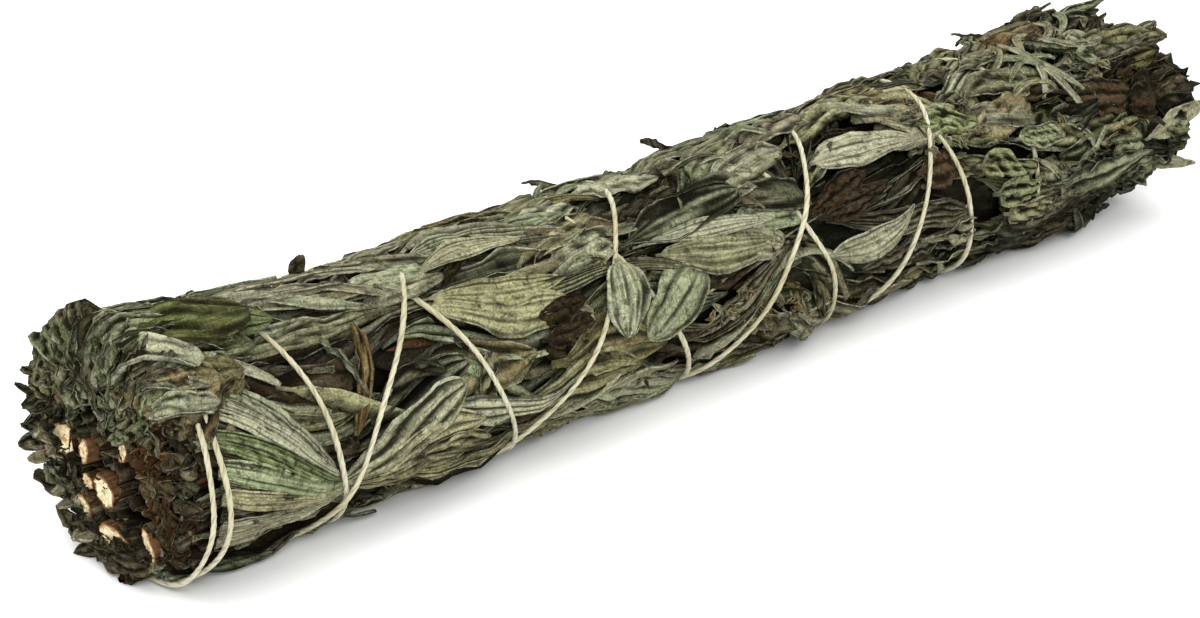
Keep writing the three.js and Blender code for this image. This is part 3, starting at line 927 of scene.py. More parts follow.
def add_string():
    """The twisted string, slightly uneven. Gives its length."""
    coarse = string_points()
    lengths = np.concatenate([[0], np.cumsum(np.linalg.norm(np.diff(coarse, axis=0), axis=1))])
    at = np.linspace(0, lengths[-1], int(lengths[-1] / STRING_STEP))
    line = smoothed(np.stack([np.interp(at, lengths, coarse[:, k]) for k in range(3)], -1), 8)
    line += 0.12 * np.stack([np.sin(at / 2.9), np.sin(at / 4.1 + 1), np.sin(at / 3.3 + 2)], -1)
    ahead = unit(np.gradient(line, axis=0))
    out = square_to(ahead, outward(to_places(line)[1]))
    side = np.cross(out, ahead)
    turn = np.arange(STRING_SIDES) * 2 * np.pi / STRING_SIDES
    lobe = np.abs(np.cos(1.5 * (turn[None] - at[:, None] * 2 * np.pi / PLY_LENGTH)))
    thick = STRING_RADIUS * (1 + 0.07 * np.sin(at / 7.3) + 0.05 * np.sin(at / 2.3))[:, None]
    reach = thick * (0.78 + 0.26 * lobe)
    ways = np.cos(turn)[:, None] * side[:, None] + np.sin(turn)[:, None] * out[:, None]
    rings = line[:, None] + reach[..., None] * ways
    # the first number is the painted shade between the plies
    colours = np.ones((lobe.size + 2, 4))
    colours[:-2, 0] = (1 - smoothstep(lobe, 0.0, 0.55)).ravel()
    piece = make_tube("cotton_string", rings, [line[0], line[-1]], COTTON, "strand", colours)
    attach(piece, "root")
    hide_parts("binding_string")
    return lengths[-1]


print("string length, mm:", round(add_string()))


# ---- What the leaves share ----


def curl():
    """How far an edge rolls up, or down where it is negative, in radians."""
    if chance() < 0.52:
        return between(1.3, 3.0)
    return between(-1.8, 0.9)


def curls():
    return {"roll_left": curl(), "roll_right": curl()}


def crushed(scale=1.0):
    """What a small, crushed and crinkled leaf is like."""
    return {
        **drawn(
            pleats=(0.5, 1.6), pleat_count=(0.8, 2.2), crumple=(0.5 * scale, 1.0 * scale),
            crease=(2.5, 4.5), ruffle=(0.4 * scale, 1.0 * scale), ruffle_length=(2.5, 5),
        ),
        **curls(), "stalk": 0.0, "ragged": 0.25,
    }


def turning(degrees):
    """A midrib's even turn to this many degrees at its end."""
    return [[0, 0], [1, degrees]]


def tip_end(angle):
    """How far the leaf tips reach on one side of the bundle: the lower ones end first."""
    low = math.exp(-((turn_from(170, angle) / 48) ** 2))
    return 104.0 + 3.0 * math.sin(math.radians(angle)) - 11.0 * low


# ---- Leaves inside and along the bundle ----

HEART_RINGS = ((3.2, 7), (5.6, 10), (8.6, 15), (11.4, 18), (14.2, 22), (16.6, 26))  # radius, leaves


def add_heart_leaves():
    """Crushed brown leaves between the stems, long and coarse where nothing shows of them, all darkened
    with painted shade.
    """
    for radius, count in HEART_RINGS:
        for k in range(count):
            below = radius - float(body_radius(-HALF))
            angle = 360 * k / count + between(-12, 12)
            lay_leaf(
                between(-109.2, -107) + 0.9 * math.sin(math.radians(angle)), angle, between(24, 34),
                between(4, 7.5), spread(5), [below, below + 0.8, below + 1.4], rows=13, pile=heart_pile,
                fullness=0.2, stalk=0.0, cut_off=0.4, crumple=0.6, crease=3.5, ruffle=0.8,
                ruffle_length=3.5, rib=0.0, **drawn(
                    pleats=(0.6, 1.6), pleat_count=(0.8, 2.2), tilt=35, roll_left=(-2, 2), roll_right=(-2, 2)
                ), shade=brown_shade(0.6), depth=0.15 + 0.3 * chance(),
            )
    for row in range(4):
        for k in range(6):
            below = between(-11, -8)
            lay_leaf(
                -72 + 42 * row, 60 * k + 30 * row, 50, 16, 0, [below, below + 1], rows=10, columns=7,
                pile=heart_pile, depth=0.8, fullness=0.3, crumple=0.6, rib=0.0,
            )


def add_inner_leaves():
    """Pressed inner layers: broad, close together and nearly black with painted shade, so that nothing
    shows through.
    """
    for height, count in ((-5.6, 8), (-4.0, 9), (-2.8, 10)):
        for row in range(6):
            for k in range(count):
                x0 = max(-HALF + 4 + row * 34 + between(-4, 4), -106 + 1.5 * chance())
                angle = (k + 0.5 * (row % 2)) * 360 / count + between(-6, 6)
                length = min(between(46, 58), HALF - 5 - x0)
                lay_leaf(
                    x0, angle, length, between(13, 17), spread(4), [height, height + 0.3, height], rows=9,
                    columns=5, depth=0.9, fullness=0.35, stalk=0.02, crumple=0.5, pleats=0.3, rib=0.0,
                    ruffle=0.3,
                )


# The layers that show, from the inside out: height over the body, leaves round it, rows along it,
# how much painted shade darkens them, the share of the places that hold a leaf, and the points along
# and across one.
LAYERS = (
    (-2.2, 12, 9, 0.4, 1.0, 13, 9), (-0.7, 14, 10, 0.12, 0.95, 17, 11), (1.4, 14, 10, 0.0, 0.66, 19, 13),
)


def add_outer_leaves():
    """The layers that show: pleated, crinkled and curled leaves, lying along the bundle. They are
    long near the cut end, and shorter, broader and more crumpled further on."""
    for base, count, rows, depth, share, along, across in LAYERS:
        for row in range(rows):
            for k in range(count):
                x0 = -108 + row * 205 / rows + between(-10, 10)
                angle = (k + 0.5 * (row % 2)) * 360 / count + between(-14, 14)
                further = float(smoothstep(x0, -70, 20))
                length = min(between(26, 48) * (1 - 0.35 * further), tip_end(angle) + 1 - x0)
                if length < 13 or chance() > share:
                    continue
                if depth == 0 and near_show_leaf(x0 + length / 2, angle):
                    continue
                add_outer_leaf(x0, angle, length, base, further, rows=along, columns=across, depth=depth)


def add_outer_leaf(x0, angle, length, base, further, **form):
    at_cut = x0 < -101
    if at_cut:
        x0 = between(-108.3, -106.2)
    height = base + between(-0.6, 0.6)
    lay_leaf(
        x0, angle, length, between(4.5, 9.0), spread(9 + 7 * further),
        [height - 1.2 * (not at_cut), height, height + 0.3, height + between(-1.2, 2.0)],
        cut_off=0.25 * at_cut, **drawn(
            fullness=(0.45, 0.8), pleats=(0.3, 1.3), pleat_count=(0.8, 2.4), flute=(0.08, 0.3),
            flute_count=(4, 8), crumple=(0.2 + 0.35 * further, 0.5 + 0.35 * further),
            crease=(5 - 2.5 * further, 11 - 2.5 * further), ruffle=(0.3, 1.0), ruffle_length=(5, 12),
        ), **curls(), **drawn(tilt=24, fold=(-0.3, 0.6)), **form,
    )


def add_crumbs():
    """Small broken and crinkled leaves between the long ones."""
    for _ in range(190):
        x0, angle, height = between(-104, 90), between(0, 360), between(-0.5, 2.4)
        brown = between(0.5, 0.9) if chance() < 0.3 else max(0.0, spread(0.2, 0.15))
        # a little painted shade darkens them
        lay_leaf(
            x0, angle, between(6, 15), between(3, 6.5), spread(40),
            [height - 0.8, height, height + between(-1, 1.5)], rows=11, ruffle=0.7, ruffle_length=3.5,
            ragged=0.3, stalk=0.03, depth=0.1,
            **drawn(bend=30, crumple=(0.5, 1.0), crease=(2.2, 4.5), pleats=(0.5, 1.6)), **curls(),
            **drawn(tilt=30), shade=[brown, between(0.05, 0.6), between(0, 1), chance()],
            **drawn(fullness=(0.3, 0.8)),
        )


def add_stalks():
    """Thin rolled leaves and stalks, which lie over the others as pale lines."""
    for _ in range(190):
        x0 = between(-104, 84)
        further = float(smoothstep(x0, -60, 0))
        length = min(between(14, 36) * (1 - 0.45 * further), HALF - 4 - x0)
        angle = between(0, 360)
        if near_show_leaf(x0 + length / 2, angle):
            continue
        height = between(1.0, 3.2)
        lay_leaf(
            x0, angle, length, between(1.2, 2.8), spread(14 + 16 * further),
            [height - 1.5, height, height, height - between(-1, 2)], rows=13, columns=5, thick=0.45,
            crumple=0.35, ruffle=0.3, fullness=0.35,
            **drawn(bend=22 + 30 * further, roll_left=(0.4, 1.6), roll_right=(0.4, 1.6), tilt=30),
            shade=[max(0, spread(0.2, 0.1)), between(0.75, 1.0), between(0, 0.5), chance()],
        )


def add_shoulder_leaves():
    """Broad leaves that close a gap in the outline at the back of the top."""
    for x0 in (-62, -56, -50):
        # painted shade darkens them
        lay_leaf(x0, -30, 22, 8, 4, [0, 1.2, 1.4, 0.5], rows=15, depth=0.3)


# ---- Leaves that catch the eye ----

LOOSE = {"hold": "loose", "reach": 3.8}
FLAT = {"roll_left": 0.6, "roll_right": 0.3, "pleats": 0.25, "fullness": 0.5, "stalk": 0.05, "ruffle": 0.6}
LOOSE_FLAT = {**FLAT, **LOOSE}
OVAL = {**LOOSE_FLAT, "crumple": 0.35}
FAN = {"pleats": 1.2, "pleat_count": 1.7, "cut_off": 0.12, "fullness": 0.6, "roll_left": 0.9, "crumple": 0.5}
STRIP = {
    "pleats": 0.4, "pleat_count": 1.2, "cut_off": 0.2, "fullness": 0.35, "roll_left": 1.2, "crumple": 0.6,
    "crease": 5,
}
ROLLED = {"roll_left": 2.6, "roll_right": 2.4, "fullness": 0.45, "crumple": 0.5}
STRAND = {"roll_left": 1.4, "roll_right": 1.2, "thick": 0.5, "fullness": 0.3, "columns": 7}
CRUSHED = {
    "crumple": 0.8, "crease": 3.5, "pleats": 1.0, "roll_left": 1.2, "roll_right": -1.2, "ragged": 0.3,
}
# A crushed leaf darkened with painted shade.
SHADED_CRUSHED = {**CRUSHED, "depth": 0.6}
GREEN_CRUSHED = {**CRUSHED, **LOOSE, "roll_left": 1.8, "fullness": 0.45}
# Where the midrib starts and ends, as (x, angle), the width, the height over the body, the tone
# (brown, light, green) and what is particular to the leaf.
SHOW_LEAVES = [
    ((-27, 46), (-29, 84), 8.5, 3.0, (0.0, 0.8, 0.3), OVAL),
    ((-12, 60), (-24.5, 90), 9.5, 2.9, (0.1, 0.82, 0.1), OVAL),
    ((-24, 35), (0, 29), 12, 2.8, (0.0, 0.14, 0.2), ROLLED),
    ((-22, 46), (4, 48), 4.5, 3.2, (0.0, 0.95, 0.1), {"roll_right": 1.6, "crumple": 0.4}),
    ((-19, 58), (3, 67), 7, 3.0, (0.0, 0.75, 0.7), FLAT),
    ((-4, 52), (5, 76), 8, 2.8, (0.3, 0.85, 0.1), FLAT),
    ((-16, 76), (4, 70), 7, 1.2, (1.0, 0.15, 0.0), CRUSHED),
    ((-61, 45), (-39, 58), 7.5, 3.0, (0.0, 0.8, 0.3), FLAT),
    ((-62, 38), (-38, 46), 6.5, 3.2, (0.0, 0.8, 0.5), {"roll_left": 1.8, "crumple": 0.3}),
    ((-46, 58), (-36, 64), 5, 3.0, (1.0, 0.05, 0.0), CRUSHED),
    ((-45, 68), (-34, 76), 5, 2.6, (1.0, 0.1, 0.0), CRUSHED),
    ((-83, 96), (-60, 80), 11, 3.0, (0.1, 0.72, 0.3), FAN),
    ((-82, 102), (-57, 94), 8, 2.8, (0.1, 0.85, 0.1), FAN),
    ((-82, 108), (-56, 104), 7, 2.6, (0.2, 0.4, 0.2), STRIP),
    ((-104, 40), (-85, 86), 4.2, 2.6, (0.05, 0.6, 0.2), STRIP),
    ((-105, 48), (-84, 90), 3.4, 3.1, (0.0, 1.0, 0.1), STRIP),
    ((-105, 56), (-83, 93), 4.5, 2.4, (0.4, 0.1, 0.2), STRIP),
    ((-105, 64), (-83, 96), 4.0, 3.1, (0.0, 0.5, 1.0), STRIP),
    ((-105, 71), (-82, 99), 3.4, 2.5, (0.5, 0.15, 0.2), STRIP),
    ((-105, 77), (-82, 101), 4.4, 3.2, (0.0, 1.0, 0.5), STRIP),
    ((-105, 84), (-82, 104), 3.2, 2.5, (0.3, 0.2, 0.1), STRIP),
    ((-105, 90), (-82, 106), 4.0, 3.1, (0.1, 0.95, 0.1), STRIP),
    ((-105, 98), (-82, 108), 4.5, 2.4, (0.5, 0.1, 0.2), STRIP),
    ((-105, 106), (-81, 111), 3.8, 3.0, (0.1, 0.7, 0.2), STRIP),
    ((-105, 115), (-81, 115), 4.2, 2.8, (0.1, 0.95, 0.2), STRIP),
    ((-103, 4), (-87, 22), 9, 3.4, (0.0, 0.45, 1.0), LOOSE_FLAT),
    ((-103, 28), (-92, 50), 2.2, 3.4, (0.0, 1.0, 0.0), STRAND),
    ((-60, 7), (-40, 13), 5, 3.2, (0.0, 0.95, 0.1), {"roll_left": 1.8}),
    ((-38, 8), (-20, 19), 8, 3.0, (0.6, 0.6, 0.5), {"pleats": 0.8, "roll_left": 0.6}),
    ((-44, 78), (-20, 98), 9, 2.4, (0.3, 0.35, 1.0), {"pleats": 0.6, "pleat_count": 1.8}),
    ((-50, 86), (-26, 104), 8, 2.6, (0.2, 0.45, 0.9), {"pleats": 0.7}),
    ((19, 24), (38, 37), 7, 3.2, (0.1, 0.9, 0.0), FLAT),
    ((11, 53), (27, 46), 10, 2.8, (1.0, 0.15, 0.1), CRUSHED),
    ((14, 66), (30, 58), 8, 2.6, (0.9, 0.1, 0.1), CRUSHED),
    ((15, 94), (34, 78), 5.5, 3.2, (0.0, 0.9, 0.2), {"roll_left": 1.5}),
    ((26, 31), (41, 38), 6, 3.2, (0.15, 0.85, 0.0), FLAT),
    ((33, 15), (53, 22), 10, 3.0, (0.35, 0.8, 0.0), {"roll_left": 0.8, "crumple": 0.5}),
    ((-25, 17), (-5, 25), 9, 2.0, (0.3, 0.03, 0.3), SHADED_CRUSHED),
    ((42, 32), (54, 44), 7, 3.3, (0.0, 0.7, 1.2), GREEN_CRUSHED),
    ((50, 66), (64, 78), 7, 3.2, (0.0, 0.5, 1.0), GREEN_CRUSHED),
    ((53, 84), (67, 90), 8, 3.0, (0.0, 0.35, 0.9), GREEN_CRUSHED),
    ((56, 98), (69, 104), 7, 3.0, (0.1, 0.5, 0.7), GREEN_CRUSHED),
    ((60, 60), (72, 66), 6, 3.2, (0.0, 0.75, 0.8), GREEN_CRUSHED),
    ((37, 66), (49, 74), 10, 3.0, (1.0, 0.35, 0.0), CRUSHED),
    ((72, 2), (78, 60), 1.8, 3.6, (0.1, 1.0, 0.0), STRAND),
    ((66, 0), (80, 48), 1.6, 3.6, (0.2, 0.9, 0.0), STRAND),
    ((75, 50), (92, 60), 10, 3.2, (1.0, 0.35, 0.0), CRUSHED),
]


def add_show_leaves():
    for (x0, a0), (x1, a1), width, height, tone, form in SHOW_LEAVES:
        arc = math.radians(a1 - a0 - TWIST * (x1 - x0) / LENGTH) * (BODY_RADIUS + 1)
        form = {"crumple": 0.3, "flute": 0.1, "columns": 15, "bend": spread(6), **form}
        lay_leaf(
            x0, a0, math.hypot(x1 - x0, arc), width, math.degrees(math.atan2(arc, x1 - x0)),
            [height - 0.6, height, height, height - 0.2], shade=[*tone, chance()], **form,
        )


def near_show_leaf(x, angle):
    for (x0, a0), (x1, a1), *_ in SHOW_LEAVES:
        if abs(x - (x0 + x1) / 2) < 9 and abs(turn_from((a0 + a1) / 2, angle)) < 18:
            return True
    return False


def add_hooks():
    """Small dark leaf tips that curl away from the bundle: those on its outline point back."""
    places = [(-70, -26, 180), (-17, -28, 180), (7, -29, 180), (81, -28, 180)]
    places += [(between(-99, 81), between(-150, -75), 0) for _ in range(12)]
    for x, angle, turn in places:
        grow_leaf(
            x, angle, float(body_radius(x)) + between(0.5, 1.2), between(8, 16), turn + spread(20),
            between(7, 10), between(2.5, 4), [[0, 0], [0.5, 20], [1, between(30, 80)]], turning(spread(40)),
            rows=14, fullness=0.4, crease=3, roll_left=1.5, roll_right=1.2, reach=5.5,
            shade=[between(0.2, 0.7), between(0, 0.3), 0.3, chance()],
        )


# Where leaves hide the string over the back of the top: leg (1 is the way up and 3 the way back), x
# and the last angle.
HIDDEN_TURNS = (
    (1, -91.5, 9), (1, -64.5, 24), (1, -28, 37), (1, 7.5, 56), (1, 44.5, 36),
    (3, -59, 0), (3, -17, -4), (3, 21.8, 8), (3, 49, 2),
)


def covered_places():
    """Starts of the leaves that lie over the string."""
    x, angle, leg = route.T
    turn = turn_from(0, angle)
    places = []
    for of_leg, middle, last in HIDDEN_TURNS:
        hidden = (leg == of_leg) & (np.abs(x - middle) < 10) & (turn > -75) & (turn < last)
        places += [(x[i] - between(7, 11), turn[i] + spread(2)) for i in np.nonzero(hidden)[0][::2]]
    places += [(between(50, 64), between(-180, 60)) for _ in range(24)]
    places += [(between(50, 64), between(95, 160)) for _ in range(7)]
    return places


def add_covers():
    """Leaves that lie over the string, where it comes over the top and round the tips."""
    for x0, angle in covered_places():
        height = between(2.3, 2.7)
        lay_leaf(
            x0, angle, between(13, 18), between(5, 8), spread(10),
            [height - 2.5, height, height + 0.2, height, height - between(0, 3)], rows=17, columns=11,
            hold="loose", reach=3.0, fullness=0.45, stalk=0.03, **drawn(
                pleats=(0.2, 0.8), pleat_count=(0.8, 2.0), crumple=(0.3, 0.6), crease=(4, 8),
                ruffle=(0.3, 0.8), ruffle_length=(5, 9), roll_left=(-1, 1.6), roll_right=(-1, 1.6), tilt=10,
            ),
        )


# Patches of crumbs: x, angle, how far each reaches along and round the bundle, height and number.
MOSS = (
    (0, 100, 10, 14, 1.6, 22), (-7, 94, 6, 10, 1.6, 18), (8, 108, 6, 10, 1.6, 18), (-96, 14, 8, 22, 1.8, 22),
    (-101, 52, 3, 12, 1.8, 18), (-30, 38, 5, 9, 1.8, 18), (-105, -34, 4, 18, 2.4, 26),
    (82, 40, 9, 40, 2.6, 30), (47, 40, 9, 26, 2.6, 34),
)


def add_moss():
    """Yellow-green crumbs of flower heads and broken leaves, caught between the leaves."""
    for x, angle, along, round_it, height, count in MOSS:
        for _ in range(count):
            shade = [between(0.1, 0.6), between(0.3, 1.0), between(0.3, 1.0), chance()]
            lay_leaf(
                x + spread(along / 2), angle + spread(round_it / 2), between(1.4, 3.4), between(0.9, 2.0),
                between(-90, 90), [height - 1, height, height - 0.6], rows=7, columns=5, hold="loose",
                reach=height + 1.6, crease=1.6, roll_left=1.2, roll_right=1.4, ruffle_length=2, rib=0.0,
                shade=shade, **drawn(tilt=30),
            )


# ---- Leaves at the cut end ----


def add_folded_leaves():
    """Leaves that come over the string at the top of the cut end and hang down over its face."""
    angles = [-112 + 158 * (k + chance()) / 36 for k in range(36)]
    for angle in angles + [-62, -56, 2, 10, 18, 26, 34]:
        back = math.exp(-(((angle + 46) / 25) ** 2))
        front = float(smoothstep(angle, -25, 0))
        x0 = between(-101, -91)
        room = 17.5 - 5.5 / max(math.cos(math.radians(angle)), 0.34)  # down to the open stems
        over = max(1.0, room * between(0.7, 1.1))
        length = x0 + HALF - 0.6 + over
        bend_at = 1 - over / length
        rise = 2 + 20 * back
        form = {**crushed(0.8), "ruffle": between(0.1, 0.5)}
        # some get a little painted shade
        grow_leaf(
            x0, angle, float(body_radius(x0)) + between(1.4, 2.6) + 1.3 * front, rise, 180 + spread(15),
            length, between(7, 11), [[0, 0], [bend_at - 0.06, -4], [bend_at + 0.06, -86 - rise], [1, -98]],
            turning(spread(25)), rows=24, columns=11, fullness=0.4, depth=0.12 * chance(),
            reach=1.9 + 2.7 * front, flare=4.4 * back, shade=[
                max(0, spread(0.2, 0.1)), rng.choice((0.2, 0.4, 0.7)) * (1 - 0.6 * back), between(0.5, 1),
                chance(),
            ], **form,
        )


def add_face_leaf(across, up, x, heading, length, width, shade, lifts=None, **form):
    """A leaf that lies on the cut face: across is towards -Y and up is along +Z, from the axis. Lifts
    are how it stands off the face at its start and end."""
    a = math.radians(heading)
    start = np.array([x, -across, float(axis_height(x)) + up])
    ahead = np.array([spread(0.12), -math.cos(a), math.sin(a)])
    usual_lifts = (-25, between(-60, 10))
    first, last = lifts or usual_lifts
    lift = [[0, first], [0.5, between(-10, 25)], [1, last]]
    normal = np.array([-1.0, 0, 0.25 * spread(1)])
    line = free_line(start, ahead, normal, length, 12, lift, turning(spread(40)))
    form = {**crushed(), "hold": "free", "fullness": 0.5, "rib": 0.0, **form}
    pile = pile_at(x, math.degrees(math.atan2(across, up)))
    pile.add(*skin(line, length, width, 12, 9, shade, seed=between(0, 6), **form))


def add_face_leaves():
    """Browned leaves crushed over the cut face: they hide the stems on its -Y side and at its top."""
    for _ in range(70):
        across, up = between(-1, 15), between(-13.5, 9)
        left_open = 3.2 - 0.5 * min(up, 3)
        if math.hypot(across, up) > 14.5 or across < left_open:
            continue
        heading = between(0, 360) if up > 3 else between(-100, 100)
        # painted shade, more towards -Y
        add_face_leaf(
            across, up, between(-109.6, -108.4) + 0.05 * across, heading, between(4.5, 8), between(3, 5.5),
            [between(0.7, 1), between(0.3, 1.0), between(0.4, 1), chance()],
            depth=float(np.clip(0.05 + 0.08 * (across - 5) + 0.15 * chance(), 0, 0.85)),
        )
    for _ in range(16):
        add_face_leaf(
            between(-9, 9), between(6, 13), between(-110.4, -109.6), between(200, 340), between(4, 7),
            between(3, 5), [max(0, spread(0.25, 0.2)), between(0.1, 0.6), between(0.2, 0.8), chance()],
        )


def add_rim_ends():
    """Short crushed leaf ends round the rim of the cut face."""
    for k in range(52):
        angle = 50 + 250 * (k + chance()) / 52
        brown = chance() < 0.5 + 0.4 * math.sin(math.radians(angle))
        # painted shade darkens them
        grow_leaf(
            between(-107.5, -106), angle, between(14, 16.4), between(180, 192), spread(20),
            between(1.8, 3.0), between(2.5, 4.0), turning(between(-20, 10)), turning(spread(30)), rows=10,
            reach=1.2, depth=0.2, shade=brown_shade() if brown else leaf_shade(-HALF, 0.3), **crushed(),
        )


def add_rim_ring():
    """A double ring of leaves that point outwards over the lower rim."""
    for k in range(28):
        angle = 150 + 106 * (k + 0.5 * chance()) / 28
        low_side = float(smoothstep(angle, 205, 175))
        ring = (16.2 - 0.5 * low_side, 18.0 - 1.9 * low_side)[k % 2] + between(-0.4, 0.4)
        a = math.radians(angle)
        # painted shade darkens them
        add_face_leaf(
            ring * math.sin(a), ring * math.cos(a), -108.4 - 0.6 * (k % 2) + between(-0.3, 0.3),
            -angle + spread(12), between(6, 8), between(3.6, 4.8), brown_shade(0.5), lifts=(0, 10),
            depth=0.2, ruffle=0.3,
        )


# Small dark leaf ends that stick out past the rim of the cut end: angle, how many and how far.
NUBS = ((-80, 8, 7.0), (-88, 6, 7.0), (-116, 3, 3.6), (-133, 3, 3.6))


def add_nubs():
    for angle, count, length in NUBS:
        for _ in range(count):
            grow_leaf(
                between(-108, -106), angle + spread(5), 16, between(98, 135), spread(25),
                length * between(0.7, 1.1), between(2.5, 4.5), turning(spread(25)), turning(spread(40)),
                rows=10, reach=1 + length, fullness=0.4,
                shade=[between(0, 0.5), between(0, 0.3), 0.3, chance()], **crushed(),
            )


def add_cut_stalks():
    """Pale cut leaf stalks low on the +Y side of the rim."""
    for k in range(13):
        angle = -90 - 72 * (k + chance()) / 13
        grow_leaf(
            between(-107, -105), angle, between(15.5, 17.5), between(160, 178), spread(12),
            between(4.5, 6.5), between(1.4, 2.4), turning(15), turning(spread(20)), rows=8, columns=7,
            reach=2.5, fullness=0.25, cut_off=0.3, thick=0.7, crumple=0.2, crease=3, roll_left=0.8,
            roll_right=0.8, shade=[0.55, between(0.75, 1.0), 0.1, chance()],
        )


def add_hidden_stem():
    """Leaves crushed over the stem end at the back of the top."""
    for _ in range(9):
        add_face_leaf(
            between(-14, -9.5), between(7, 11), between(-110.8, -110), between(220, 320), between(4, 6.5),
            between(3, 5), [0.1, between(0.1, 0.4), between(0.4, 1), chance()],
        )


# The big leaf that comes rolled over the top of the cut end with its pale felted side out, and small
# curled ones beside it: x, angle, turn, swerve, length, width and how light it is.
FELTED_CURLS = (
    (-102, 34, 205, 45, 18, 6, 1.0), (-102, 42, 196, 20, 13, 5, 0.3), (-103, 52, 190, 20, 12, 4.5, 0.6),
    (-101, -4, 190, 20, 17, 6, 0.25), (-101, 14, 195, 30, 15, 6, 0.2),
)


def add_felted_curls():
    for x, angle, turn, swerve, length, width, light in FELTED_CURLS:
        bend_at = (x + HALF) / length
        grow_leaf(
            x, angle, float(body_radius(x)) + 3.0 + light, 3, turn, length, width,
            [[0, 0], [bend_at - 0.12, -8], [bend_at + 0.14, -80], [1, -92]], turning(swerve), rows=24,
            columns=15, reach=5.6, roll_left=1.6, roll_right=1.2, pleats=0.4, crease=5, thick=0.6,
            stalk=0.0, fullness=0.5, shade=[0.0, light, 0.2, 0.4],
        )


def add_green_leaf():
    """The broad leaf that is still green, flat on the top of the cut end."""
    lay_leaf(
        -107, 12, 17, 10, 4, [3.8, 4.4, 4.3, 3.8], bend=-8, rows=20, columns=15, hold="loose", reach=5.6,
        pleats=0.2, crumple=0.35, crease=5, roll_left=0.5, roll_right=0.3, fullness=0.4, stalk=0.02,
        shade=[0.0, 0.18, 1.4, 0.13],
    )


# ---- Leaves at the tips ----

# Rings of loose leaf tips, from the inside out: distance from the axis, leaves and how much painted
# shade darkens them.
TIP_RINGS = ((4, 6, 0.8), (8, 9, 0.7), (12, 12, 0.5), (15, 11, 0.2), (16.5, 7, 0.0))


def add_tip_leaves():
    """The loose leaf tips, springing apart past the last turns of the string."""
    for radius, count, depth in TIP_RINGS:
        for k in range(count):
            angle = 360 * k / count + between(-12, 12)
            x0 = between(58, 78)
            end = tip_end(angle) - between(2, 18)
            bow = spread(30)
            grow_leaf(
                x0, angle, radius, between(-2, 8), spread(14), max(14.0, end - x0), between(5, 9.5),
                [[0, 0], [0.5, 0.3 * bow], [1, bow]], turning(spread(30)), rows=19, columns=13,
                depth=depth, **drawn(
                    spin=30, pleats=(0.3, 1.3), pleat_count=(0.8, 2.2), crumple=(0.5, 1.0), crease=(4, 7),
                    ruffle=(0.5, 1.2), ruffle_length=(4, 8), cup=0.06,
                ), **curls(),
            )


def add_tip_strands():
    """Thin pale leaves that curl over the others."""
    for _ in range(13):
        height = between(2.8, 3.5)
        lay_leaf(
            between(62, 86), between(-45, 100), between(9, 15), between(1.1, 2.0), spread(35),
            [height - 1.5, height, height, height - 1], bend=rng.choice((-1, 1)) * between(50, 120),
            rows=15, columns=7, hold="loose", reach=4.2, roll_left=1.3, roll_right=1.3, thick=0.45,
            crease=4, fullness=0.35, **drawn(tilt=30),
            shade=[0.05, between(0.7, 0.95), between(0, 0.7), chance()],
        )


def add_pale_tips():
    """Two pale leaves at the very end of the camera's side: x, angle, distance from the axis, tilt,
    turn and width."""
    for x, angle, radius, tilt, turn, width in ((96, 96, 15.0, 5, -25, 5.5), (97, 121, 13.5, 16, -4, 3.5)):
        grow_leaf(
            x, angle, radius, tilt, turn, 14, width, turning(6), turning(8), rows=18, columns=11,
            pleats=0.25, crumple=0.25, crease=6, roll_left=0.7, roll_right=0.4, fullness=0.6,
            shade=[0.0, 0.95, 0.3, 0.3],
        )


# The bunches of leaves at the sprigs' ends: x, angle, distance from the axis, size and the tone
# (brown, light, green).
LEAF_HEADS = (
    (94, -40, 14.0, 6.5, (0.1, 0.15, 0.5)), (100, -12, 11.0, 6.0, (0.0, 0.15, 0.8)),
    (88, -16, 14.5, 6.0, (0.2, 0.2, 0.4)), (103, 34, 9.5, 5.5, (0.0, 0.15, 0.9)),
    (104, 68, 11.5, 5.5, (0.6, 0.25, 0.2)), (104, 102, 12.5, 5.2, (0.0, 0.3, 1.0)),
    (96, 124, 12.5, 5.5, (0.0, 0.25, 0.7)), (92, 56, 15.0, 6.0, (0.9, 0.05, 0.6)),
    (85, 22, 14.5, 5.0, (0.1, 0.5, 0.5)), (88, 92, 14.0, 5.5, (0.1, 0.25, 0.6)),
    (74, 74, 13.5, 6.0, (0.0, 0.3, 1.0)), (80, 112, 13.0, 6.0, (0.2, 0.15, 0.4)),
    (101, 0, 0.0, 7.0, (0.3, 0.2, 0.4)), (100, -90, 11.0, 7.0, (0.2, 0.3, 0.5)),
    (94, -140, 11.0, 6.5, (0.2, 0.3, 0.5)), (88, 172, 11.0, 6.0, (0.3, 0.1, 0.4)),
    (98, 135, 5.0, 6.5, (0.3, 0.2, 0.4)), (102, -45, 6.0, 6.0, (0.2, 0.2, 0.5)),
)


def add_leaf_heads():
    """The bunches at the sprigs' ends, and smaller ones scattered over the last third."""
    for x, angle, radius, size, tone in LEAF_HEADS:
        add_leaf_head(x, angle, radius, size, 15, tone)
    for _ in range(30):
        x, angle, size = between(40, 90), between(0, 360), between(3.0, 4.6)
        x = min(x, tip_end(angle) - 6)
        tone = (max(0.0, spread(0.2, 0.1)), between(0.25, 0.6), between(0.2, 0.9))
        add_leaf_head(x, angle, float(body_radius(x)) + 0.5 - 0.4 * size, size, 8, tone)


